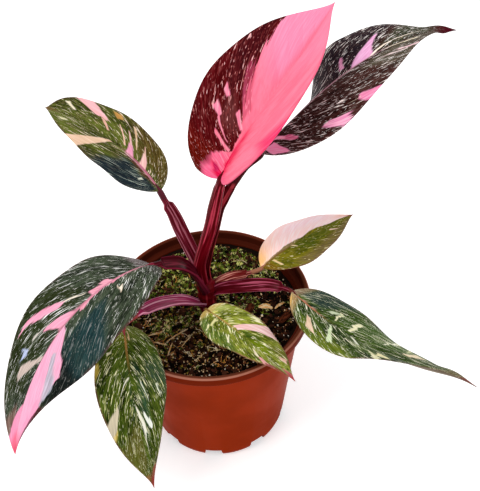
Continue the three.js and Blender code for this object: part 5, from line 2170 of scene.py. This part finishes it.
FINISHES: dict[str, LeafFinish] = {
    "crown": LeafFinish(
        dark="f9738f", light="fc839d", rib="dc0a48", rib_to=0.42, margin="e0607f", tip="f07a98",
        tip_from=0.93, under="b04a60", lean=(0.3, 0.2), grit=0.12,
        layers=(
            Patch(L, WHOLE, (0.86, 0.86), (0.28, 0.28), "f38bae", "f59abd", 0.14, 0.9),
            Patch(R, WHOLE, (0.86, 0.86), (0.24, 0.24), "f984a3", "fb93b1", 0.14, 0.7),
            Patch(R, (-0.4, 1.4), (0.02, 0.02), (0.24, 0.18), "f1517e", "f8799c", 0.12, 0.9),
            Patch(L, (-0.4, 1.4), (0.04, 0.04), (0.26, 0.22), "ed5684", "f17599", 0.1, 0.9),
            Patch(R, (-0.4, 0.42), (0.22, 0.3), (0.4, 0.14), "e60c44", "f02c60", 0.12, 0.85),
            Patch(L, (-0.4, 0.5), (0.1, 0.1), (0.28, 0.14), "dc0640", "e42c60", 0.08),
            Patch(L, (0.12, 0.4), (0.2, 0.16), (0.06, 0.05), "a8144c", "c43468", 0.04, 0.8),
            Patch(R, (0.5, 1.3), (0.38, 0.43), (0.0, 0.14), "ea2c60", "f05080", 0.05, 0.9),
            Patch(R, (0.9, 1.3), (0.25, 0.25), (0.3, 0.3), "c82c54", "d84468", 0.05, 0.5),
            Patch(
                L, (0.02, 1.4), (0.37, 0.446), (0.05, 0.41), "420508", "5c0f14", 0.01, 1.0, "dark",
                0.9,
            ),
            Patch(L, (0.1, 1.4), (0.27, 0.17), (0.04, 0.16), "4e0802", "6c1507", 0.08, 0.9),
            Patch(L, (0.5, 1.4), (0.48, 0.73), (0.08, 0.1), "360a10", "4c1418", 0.03, 0.8),
            Patch(
                L, (0.1, 0.62), (0.48, 0.58), (0.04, 0.04), "a83450", "c45476", 0.02, 0.6, "fringe",
                0.9,
            ),
            Patch(L, (0.05, 0.6), (0.4, 0.44), (0.04, 0.08), "5c2c2c", "704040", 0.05, 0.6),
            *freckles("803838", "c87c78", "f0b8b8", 1.5, "dark"),
            Patch(L, (0.08, 0.42), (0.315, 0.34), (0.012, 0.012), "f07890", "f49ab0", 0.008),
            Patch(L, (0.16, 0.54), (0.345, 0.385), (0.005, 0.009), "e88098", "f49ab0", 0.006),
            Patch(L, (0.5, 0.7), (0.392, 0.398), (0.012, 0.016), "ee7c9c", "f6a6b8", 0.008),
            Patch(L, (0.54, 0.7), (0.448, 0.452), (0.012, 0.014), "ee7c9c", "f6a6b8", 0.008),
            Patch(L, (0.06, 0.32), (0.43, 0.46), (0.014, 0.016), "f07e9c", "f7a8ba", 0.008),
            Flecks(0.8, 3.0, 0.12, "f08ca4", "f8b0c0", "fringe", 9.0),
            Patch(L, (0.0, 0.46), (0.22, 0.25), (0.1, 0.01), "ee5f86", "f48aa4", 0.02),
        ),
    ),
    "rear": LeafFinish(
        dark="24100e", light="3e221e", rib="b88c98", rib_to=0.76, margin="4a2c2c", tip="4a0a18",
        tip_from=0.88, under="5a2430", lean=(0.22, 0.15),
        layers=(
            Patch(L, WHOLE, (0.48, 0.5), (0.25, 0.25), "180e16", "2c2028", 0.08, 0.95),
            Patch(L, WHOLE, (0.18, 0.2), (0.18, 0.18), "2c0208", "4c060c", 0.06, 0.9),
            Patch(L, WHOLE, (0.84, 0.86), (0.14, 0.14), "262e20", "4c543c", 0.06, 0.8),
            Patch(R, (0.1, 1.4), (0.76, 0.8), (0.16, 0.16), "403f32", "6d6955", 0.06, 0.7),
            Patch(R, (-0.1, 0.5), (0.36, 0.36), (0.12, 0.12), "240807", "370f0e", 0.06, 0.7),
            *freckles("644c48", "ccb4b0", "fffcf8", 1.5),
            Flecks(0.9, 6.0, 0.08, "dcd0c8", "fff8f4", "", 6.0),
            # Pink markings, painted paler than their own tone to offset the crown's shadow: partly
            # painted light.
            Patch(R, (0.14, 0.9), (0.17, 0.17), (0.05, 0.055), "ff90c4", "ffc8e4", 0.012),
            Patch(R, (0.08, 0.52), (0.24, 0.3), (0.02, 0.016), "fc94bc", "ffc0dc", 0.01),
            Patch(R, (0.3, 0.54), (0.275, 0.3), (0.02, 0.006), "d05a86", "e88ab0", 0.008),
            Patch(R, (0.72, 1.0), (0.39, 0.43), (0.02, 0.03), "e48cb8", "f8bcd4", 0.01),
            Patch(R, (0.8, 1.4), (0.5, 0.54), (0.012, 0.07), "e07aa6", "f4a6c6", 0.01),
            Patch(R, (0.7, 0.86), (0.47, 0.5), (0.003, 0.006), "dcc8b0", "f0e4d0", 0.006),
            Patch(R, (0.33, 0.8), (0.67, 0.755), (0.005, 0.01), "e4ccc8", "fcecec", 0.008),
            Patch(R, (0.02, 0.5), (0.75, 0.84), (0.008, 0.009), "ecdcb8", "fff4d8", 0.004),
            Patch(R, (0.6, 1.0), (0.74, 0.8), (0.006, 0.012), "ecc0c8", "fce0e4", 0.006),
            Patch(L, (-0.02, 0.8), (0.672, 0.667), (0.045, 0.004), "e2a0cc", "f2bce2", 0.01),
            Patch(L, (0.14, 0.48), (0.592, 0.56), (0.014, 0.008), "d98ab4", "efb4d4", 0.008),
            Patch(L, (0.0, 0.5), (0.7, 0.865), (0.012, 0.012), "ecdcc8", "fff4e8", 0.006),
            Patch(L, (0.1, 0.6), (0.78, 0.88), (0.003, 0.004), "b0a488", "d4c8ac", 0.004, 0.8),
        ),
    ),
    "large_left": LeafFinish(
        dark="1f261c", light="3f4a38", rib="d0849a", rib_to=0.62, margin="4c3430", tip="e0526c",
        tip_from=0.9, under="6a4a50", lean=(0.34, 0.28),
        layers=(
            Patch(L, WHOLE, (0.06, 0.06), (0.15, 0.15), "242420", "48443e", 0.06, 0.8),
            Patch(R, WHOLE, (0.06, 0.06), (0.16, 0.16), "4c3e40", "94848a", 0.06, 0.8),
            Patch(L, (0.1, 1.0), (0.48, 0.5), (0.1, 0.1), "163032", "2a4648", 0.07, 0.75),
            Patch(L, (0.4, 1.4), (0.64, 0.68), (0.07, 0.1), "0a1110", "141c1b", 0.05, 0.85),
            Patch(R, (0.1, 1.4), (0.62, 0.66), (0.2, 0.17), "1c2308", "303915", 0.05, 0.75),
            *freckles("6a7062", "a4a89a", "f2f2ec", 1.15),
            Flecks(0.9, 7.0, 0.07, "d0d4c8", "ffffff", "", 7.0, 0.95),
            Patch(L, (0.16, 1.1), (0.52, 0.54), (0.14, 0.14), "122a2e", "2a4648", 0.06, 0.74),
            Patch(L, (0.3, 1.4), (0.68, 0.72), (0.09, 0.1), "0c1010", "1a2020", 0.05, 0.8),
            Patch(L, (0.2, 0.44), (0.338, 0.348), (0.016, 0.005), "e0ccb4", "f4e8d8", 0.008),
            Patch(L, (-0.1, 0.74), (0.79, 0.9), (0.235, 0.225), "f2a0c0", "f8b8d4", 0.01),
            Patch(L, (0.6, 1.3), (0.92, 1.26), (0.26, 0.25), "f096ba", "f6b0cc", 0.01),
            # Painted reflection: a pale grey sheen band on the left half.
            Patch(L, (0.2, 0.86), (0.65, 0.77), (0.022, 0.05), "98a0ac", "c8c8d8", 0.02, 0.85),
            Patch(L, (0.84, 1.4), (0.86, 0.9), (0.08, 0.12), "381418", "5a2228", 0.02, 0.85),
            Patch(R, (0.3, 1.3), (0.86, 0.9), (0.05, 0.06), "6c5048", "a07c74", 0.03, 0.7),
            Patch(R, WHOLE, (0.99, 1.08), (0.165, 0.16), "f28cb0", "f8a4c4", 0.01),
            Patch(R, WHOLE, (0.93, 0.95), (0.035, 0.045), "ee5c80", "f47c98", 0.05, 0.85),
            Patch(R, (0.1, 0.46), (0.45, 0.535), (0.008, 0.014), "dcd0bc", "f0e8dc", 0.008),
            Patch(R, (0.36, 0.9), (0.525, 0.64), (0.024, 0.026), "f09ab8", "f8b4cc", 0.01),
            Patch(R, (-0.02, 0.36), (0.555, 0.618), (0.042, 0.012), "f09ab8", "f6b0c8", 0.01),
            Patch(R, (0.25, 0.56), (0.57, 0.655), (0.004, 0.012), "c0b8b0", "e0dad4", 0.006),
            Patch(R, (0.46, 0.66), (0.685, 0.695), (0.012, 0.022), "a8b4d8", "d0d8ee", 0.008),
            Patch(R, (-0.02, 0.56), (0.69, 0.745), (0.012, 0.024), "b4a49c", "d8c4bc", 0.008),
            Patch(R, (-0.06, 0.1), (0.37, 0.42), (0.08, 0.03), "e89ab0", "f4b8c8", 0.01),
            Patch(L, (-0.06, 0.05), (0.4, 0.4), (0.14, 0.1), "e08ca4", "f0b0c0", 0.01),
            Patch(L, (-0.06, 0.08), (0.22, 0.26), (0.09, 0.05), "c08c94", "e0b4b4", 0.03, 0.6),
            Patch(R, (-0.06, 0.05), (0.5, 0.5), (0.12, 0.1), "d88aa2", "efa8ba", 0.02, 0.85),
        ),
    ),
    "upper_left": LeafFinish(
        dark="343816", light="5e6828", rib="c07088", rib_to=0.52, margin="4a3826", tip="6b5030",
        tip_from=0.9, under="6a5240", lean=(0.12, 0.4),
        layers=(
            Patch(L, (0.06, 1.4), (0.3, 0.3), (0.22, 0.24), "161f26", "2c3a42", 0.09, 0.92),
            Patch(R, (0.1, 1.4), (0.3, 0.3), (0.2, 0.2), "423016", "6c532a", 0.08, 0.75),
            Patch(L, WHOLE, (0.84, 0.84), (0.12, 0.12), "465414", "74803a", 0.08, 0.6),
            *freckles("7c7444", "b4a874", "f0e6c8", 1.4),
            Flecks(0.9, 5.0, 0.08, "c4a88c", "f0dcc8", "", 7.0),
            Patch(L, (0.1, 1.4), (0.3, 0.3), (0.2, 0.22), "141e26", "26343c", 0.06, 0.9, "blue"),
            Flecks(0.6, 4.0, 0.14, "64786c", "c4d0c0", "blue", 11.0),
            Patch(L, (0.1, 1.3), (0.635, 0.585), (0.016, 0.058), "dcb898", "f0d0b8", 0.01),
            Patch(L, (0.56, 0.84), (0.8, 0.82), (0.02, 0.03), "d8d4a8", "ece8cc", 0.02),
            Patch(R, (0.6, 1.3), (0.62, 0.6), (0.036, 0.056), "ecb0b0", "f6c4cc", 0.01),
            Patch(R, (0.6, 0.92), (0.77, 0.74), (0.012, 0.02), "e4d8b8", "f4ecd8", 0.012),
            Patch(R, (-0.08, 0.34), (0.385, 0.41), (0.045, 0.014), "ecb4b0", "f8d0c8", 0.01),
            Patch(R, (0.3, 0.54), (0.405, 0.41), (0.01, 0.006), "dca898", "f0ccbc", 0.006),
            Patch(R, (-0.08, 0.36), (0.51, 0.495), (0.045, 0.014), "e898b8", "f8c4d4", 0.01),
            Patch(R, (0.3, 0.56), (0.495, 0.485), (0.01, 0.006), "e0a8a8", "f4ccc8", 0.006),
            Patch(R, (0.2, 0.62), (0.545, 0.525), (0.01, 0.006), "e8b8a4", "f4d0bc", 0.005),
            Patch(R, (0.26, 0.6), (0.645, 0.62), (0.01, 0.01), "d8a490", "f0ccb8", 0.005),
            Patch(R, (0.3, 0.8), (0.46, 0.45), (0.005, 0.008), "d8b490", "f0dcc0", 0.004),
            Patch(R, (0.72, 0.94), (0.51, 0.5), (0.014, 0.018), "c8904c", "dca85c", 0.008, 0.8),
            Patch(L, (0.06, 0.18), (0.34, 0.36), (0.2, 0.16), "4c1420", "64202c", 0.02, 0.8),
            Patch(L, (-0.06, 0.1), (0.34, 0.36), (0.2, 0.18), "e48ca8", "f4b8c8", 0.03, 0.95),
            Patch(L, (-0.02, 0.07), (0.47, 0.47), (0.07, 0.06), "f0c4cc", "f8dce0", 0.02, 0.9),
            Patch(L, (0.28, 0.46), (0.3, 0.31), (0.02, 0.01), "b8bca8", "e0e4d4", 0.01),
        ),
    ),
    "hanging": LeafFinish(
        dark="1a2506", light="485a18", rib="a4743c", rib_to=0.36, margin="5e4030", tip="8c3028",
        tip_from=0.88, under="5c4a3c", lean=(0.22, 0.34),
        layers=(
            Patch(L, WHOLE, (0.1, 0.1), (0.16, 0.14), "485420", "888c44", 0.08, 0.65),
            Patch(L, (0.02, 0.55), (0.5, 0.62), (0.24, 0.18), "143028", "2c5444", 0.1, 0.8),
            Patch(R, (-0.1, 0.22), (0.5, 0.55), (0.2, 0.16), "143024", "2c543c", 0.08, 0.7),
            Patch(L, (0.3, 1.4), (0.4, 0.42), (0.12, 0.12), "1c3430", "40584c", 0.12, 0.7),
            Patch(R, WHOLE, (0.1, 0.12), (0.14, 0.14), "60641a", "a4a43c", 0.08, 0.7),
            Patch(R, WHOLE, (0.74, 0.76), (0.12, 0.14), "54501c", "787038", 0.06, 0.7),
            *freckles("606c24", "ccc870", "fffcd4", 1.8),
            Flecks(0.9, 5.0, 0.08, "dcd688", "fffad0", "", 7.0),
            Patch(L, (-0.02, 0.28), (0.57, 0.72), (0.02, 0.02), "dcd8c0", "f4f2e4", 0.008),
            Patch(L, (0.16, 0.34), (0.7, 0.82), (0.026, 0.01), "dcd6bc", "f0ecdc", 0.008),
            Patch(L, (0.26, 0.52), (0.61, 0.66), (0.018, 0.016), "e0e4d4", "fafaf2", 0.006),
            Patch(L, (0.24, 0.46), (0.45, 0.54), (0.02, 0.012), "ccd0b8", "ecece0", 0.008),
            Patch(L, (0.74, 0.88), (0.46, 0.5), (0.016, 0.012), "e0e4c8", "f8f8e8", 0.006),
            Patch(R, (0.06, 0.34), (0.44, 0.49), (0.006, 0.006), "d4d0b4", "f0ecd8", 0.005),
            Patch(R, (0.52, 1.1), (0.52, 0.56), (0.012, 0.045), "bcb098", "d8ccac", 0.01),
            Patch(R, (0.8, 1.0), (0.575, 0.58), (0.01, 0.022), "d0ac48", "e8cc70", 0.02, 0.85),
            Patch(R, (0.8, 1.2), (0.34, 0.35), (0.02, 0.075), "b09028", "e4d078", 0.02, 0.75),
            Patch(R, (0.5, 0.68), (0.28, 0.285), (0.008, 0.01), "ccc49c", "e8e2c4", 0.006),
            Patch(L, (-0.06, 0.08), (0.2, 0.22), (0.1, 0.08), "a4702c", "c8945c", 0.03, 0.85),
            Patch(L, (0.13, 0.22), (0.16, 0.18), (0.06, 0.05), "c89c6c", "e8c8a0", 0.01, 0.8),
            Patch(L, (0.4, 1.3), (0.92, 0.86), (0.05, 0.07), "80342c", "a86050", 0.03, 0.85),
            Patch(R, (0.5, 1.3), (0.9, 0.87), (0.03, 0.05), "7c4c28", "b48858", 0.03, 0.75),
            Patch(R, WHOLE, (0.97, 0.98), (0.05, 0.06), "80302c", "a85c4c", 0.03, 0.8),
            Patch(L, WHOLE, (0.96, 0.97), (0.05, 0.07), "802c30", "a8504c", 0.03, 0.8),
        ),
    ),
    "front": LeafFinish(
        dark="465212", light="8f9a36", rib="b08c4c", rib_to=0.5, margin="906050", tip="b0444c",
        tip_from=0.88, under="9a7c50", lean=(0.12, 0.12),
        layers=(
            Patch(L, (-0.1, 0.5), (0.68, 0.68), (0.09, 0.08), "5c7204", "7c8d1c", 0.04, 0.85),
            Patch(R, (0.35, 1.4), (0.3, 0.36), (0.22, 0.22), "385418", "6c8848", 0.08, 0.7),
            Patch(R, (0.02, 0.3), (0.42, 0.56), (0.16, 0.12), "3c5c0c", "6c8c20", 0.06, 0.7),
            Patch(L, (0.02, 0.5), (0.54, 0.62), (0.06, 0.05), "2c4410", "50681c", 0.03, 0.8),
            Patch(L, (0.5, 1.3), (0.72, 0.7), (0.1, 0.1), "4c4c1c", "7c7438", 0.06, 0.7),
            Patch(L, WHOLE, (0.08, 0.1), (0.13, 0.13), "d0b060", "ecd090", 0.06, 0.8),
            Patch(R, WHOLE, (0.08, 0.1), (0.12, 0.12), "c8a858", "e8c884", 0.06, 0.8),
            *freckles("949440", "d4cc88", "fcf8d4", 1.1),
            Flecks(1.0, 5.0, 0.13, "d4d488", "f8f4cc", "", 7.0),
            Patch(
                L, (0.02, 1.2), (0.475, 0.5), (0.03, 0.06), "ecbcb8", "fadedc", 0.008, 1.0, "", 0.8
            ),
            Patch(L, (0.1, 0.9), (0.2, 0.22), (0.1, 0.1), "b4bc64", "d4dc94", 0.1, 0.6),
            Patch(L, (0.6, 0.9), (0.76, 0.76), (0.02, 0.04), "dcb09c", "f0ccb8", 0.01),
            Patch(R, (0.12, 0.58), (0.3, 0.31), (0.022, 0.012), "dcd890", "f0ecb4", 0.01),
            Patch(R, (0.42, 0.74), (0.46, 0.465), (0.01, 0.01), "e0dcac", "f4f0d0", 0.006),
            Patch(R, (0.36, 0.68), (0.655, 0.67), (0.012, 0.02), "e4d8b0", "f4ecd0", 0.008),
            Patch(R, (0.64, 1.0), (0.69, 0.74), (0.02, 0.05), "e49c98", "f4bcb8", 0.01),
            Patch(L, (-0.02, 0.24), (0.4, 0.45), (0.012, 0.008), "d4cc84", "ece4ac", 0.006),
            Patch(L, (-0.02, 0.2), (0.2, 0.23), (0.026, 0.012), "dcd870", "f0ec9c", 0.01),
            Patch(R, (0.8, 1.4), (0.8, 0.82), (0.1, 0.14), "7c2c2c", "a0484a", 0.02, 0.85),
            Patch(R, WHOLE, (0.98, 0.99), (0.08, 0.09), "c05c66", "d0747c", 0.03, 0.85),
            Patch(L, WHOLE, (0.98, 0.99), (0.1, 0.12), "c8646e", "dc8088", 0.03, 0.85),
        ),
    ),
    "right": LeafFinish(
        dark="18280e", light="4a6024", rib="c07858", rib_to=0.36, margin="5e4236", tip="7e3c34",
        tip_from=0.91, under="5c4a3c", lean=(0.14, 0.34),
        layers=(
            Patch(L, (0.05, 1.4), (0.24, 0.27), (0.12, 0.12), "1c2c30", "44544e", 0.06, 0.85),
            Patch(L, WHOLE, (0.06, 0.06), (0.13, 0.13), "806450", "b89c84", 0.06, 0.8),
            Patch(R, WHOLE, (0.06, 0.06), (0.14, 0.14), "a67f50", "ddb880", 0.06, 0.85),
            Patch(L, (0.1, 1.4), (0.52, 0.52), (0.14, 0.14), "304a1c", "506c30", 0.06, 0.7),
            Patch(R, (0.45, 1.4), (0.34, 0.36), (0.14, 0.16), "5c6c1c", "94a030", 0.08, 0.6),
            Patch(R, (0.46, 0.7), (0.44, 0.44), (0.04, 0.05), "1c2c24", "2c3e34", 0.04, 0.8),
            Patch(R, (0.2, 1.2), (0.68, 0.68), (0.02, 0.03), "1c3016", "2c4422", 0.02, 0.8),
            Patch(L, WHOLE, (0.86, 0.86), (0.09, 0.1), "564a2c", "806c4c", 0.04, 0.85),
            Patch(R, WHOLE, (0.86, 0.86), (0.09, 0.1), "5c5034", "8c785a", 0.04, 0.85),
            *freckles("4e6030", "b0b684", "f8f8dc", 1.2),
            Flecks(0.9, 9.0, 0.12, "ccd0a0", "fffbe0", "", 7.0),
            Patch(R, (-0.1, 0.3), (0.82, 0.84), (0.08, 0.09), "d0c4a4", "ece4cc", 0.01),
            Patch(L, WHOLE, (0.97, 0.98), (0.09, 0.1), "6a3430", "8c5044", 0.04, 0.9),
            Patch(R, WHOLE, (0.97, 0.98), (0.08, 0.09), "74403a", "94584c", 0.04, 0.9),
            Patch(L, (0.06, 0.5), (0.5, 0.44), (0.01, 0.014), "dcd8ac", "f8f4d8", 0.006),
            Patch(L, (0.1, 0.44), (0.42, 0.37), (0.006, 0.01), "d8d4a4", "f4f0d0", 0.006),
            Patch(L, (0.5, 0.9), (0.66, 0.6), (0.02, 0.03), "dcc8a4", "f4e8cc", 0.01),
            Patch(R, (0.1, 0.7), (0.42, 0.38), (0.008, 0.014), "c8d8a8", "ecf4d4", 0.006),
            Patch(R, (0.5, 0.85), (0.62, 0.62), (0.01, 0.03), "e0d8a0", "f8f0c8", 0.008),
            Patch(L, (0.36, 1.3), (0.58, 0.42), (0.006, 0.014), "d8d8b4", "f4f4e0", 0.006),
            Patch(L, (0.6, 1.1), (0.62, 0.49), (0.004, 0.01), "c8cc94", "e4e4bc", 0.005),
            Patch(L, (0.22, 0.38), (0.36, 0.385), (0.014, 0.014), "b8c4a0", "dce4c8", 0.008),
            Patch(R, (0.36, 0.8), (0.285, 0.3), (0.016, 0.028), "dcbc9c", "f4dcc4", 0.008),
            Patch(R, (0.48, 0.66), (0.195, 0.215), (0.016, 0.018), "c0ccac", "dce4c8", 0.008),
            Patch(R, (0.55, 1.0), (0.575, 0.595), (0.006, 0.018), "d0cca0", "f0ecc8", 0.006),
            Patch(R, (0.1, 0.42), (0.525, 0.545), (0.012, 0.006), "dce0c8", "fafaf0", 0.006),
            Patch(L, (-0.08, 0.08), (0.25, 0.28), (0.08, 0.05), "c8807c", "e4a89c", 0.03, 0.85),
            Patch(R, (0.5, 1.3), (0.08, 0.1), (0.04, 0.05), "d8a850", "f0c880", 0.03, 0.8),
        ),
    ),
    "inner_right": LeafFinish(
        dark="4c500c", light="7c761a", rib="7c5a30", rib_to=0.5, margin="7c4c3c", tip="8a4438",
        tip_from=0.9, under="8c6c54", lean=(0.16, 0.15),
        layers=(
            Patch(R, WHOLE, (0.12, 0.14), (0.14, 0.12), "604006", "805f14", 0.06, 0.8),
            Patch(R, (-0.1, 0.7), (0.66, 0.66), (0.22, 0.22), "3c4c0a", "5c6c20", 0.08, 0.6),
            Patch(R, (0.6, 1.4), (0.6, 0.6), (0.3, 0.26), "645339", "897357", 0.08, 0.7),
            *freckles("867c2c", "bcb068", "f0e4b0", 1.2),
            Flecks(0.9, 4.0, 0.05, "c8b878", "f0e4b8", "", 7.0),
            Patch(R, (0.12, 0.62), (0.275, 0.27), (0.016, 0.014), "d8bc84", "f0dcac", 0.01),
            Patch(R, (-0.05, 0.2), (0.485, 0.49), (0.014, 0.006), "dcc08c", "f4e4bc", 0.008),
            Patch(R, (0.52, 0.78), (0.7, 0.71), (0.014, 0.01), "dcb8a0", "f4d4c0", 0.008),
            Patch(L, (0.07, 1.6), (0.4, 0.46), (0.56, 0.5), "ffd8d4", "ffe8e6", 0.012, 1.0),
            Patch(L, (-0.1, 0.16), (0.2, 0.2), (0.4, 0.36), "ffd8d4", "ffe8e6", 0.1),
            Patch(L, (-0.1, 1.6), (0.1, 0.1), (0.34, 0.3), "fcc8a4", "fed4b8", 0.2, 0.85),
            Patch(L, (-0.1, 1.6), (0.08, 0.06), (0.24, 0.18), "f4b868", "f8cc8c", 0.14, 0.85),
            Patch(L, (0.3, 1.2), (0.6, 0.62), (0.22, 0.22), "fcd8e0", "ffe6ec", 0.14, 0.7),
            Patch(L, (0.3, 1.4), (0.9, 0.9), (0.1, 0.1), "f8bca8", "fccabc", 0.08, 0.7),
            Patch(L, (0.02, 0.1), (0.4, 0.42), (0.12, 0.1), "6e4a20", "8a6434", 0.02, 0.9),
        ),
    ),
}

FLESH: dict[str, FleshFinish] = {
    "front": FleshFinish("4c0812", "98303c", "b04c58", "c06868", "8a6c34"),
    "hanging": FleshFinish("902048", "d44c80", "f4a8c0", "ffc0d4", "8c4030", 0.8),
    "right": FleshFinish("44040c", "8c1c38", "d4748c", "c45c78", "5c2c24", 0.6),
    "inner_right": FleshFinish("5c1010", "a04c48", "d89080", "e4a090", "9a6a50", 0.6),
    "large_left": FleshFinish("34020a", "5c0a1a", "802038", "782034", "842038", 0.4),
    "upper_left": FleshFinish("5c0816", "a83450", "e08898", "e4889c", "46242c", 0.75),
    "crown": FleshFinish("500008", "980c24", "b43444", "dc4860", "4c060e", 0.6),
    "rear": FleshFinish("480208", "841024", "c83c40", "d04450", "34060a", 0.6),
}


def main() -> None:
    """Builds the studio and the plant, piece by piece."""
    SharedNodes.build()
    Studio().build()
    log.info("studio built")
    Pot().dress()
    Compost().dress()
    for flake in FLAKES:
        flake.dress()
    Stem().dress()
    for number, shape in enumerate(SHAPES):
        Petiole(shape, FLESH[shape.name], 20.0 + number).dress()
        Blade(shape, FINISHES[shape.name], 5.0 * number).dress()


if __name__ == "__main__":
    main()
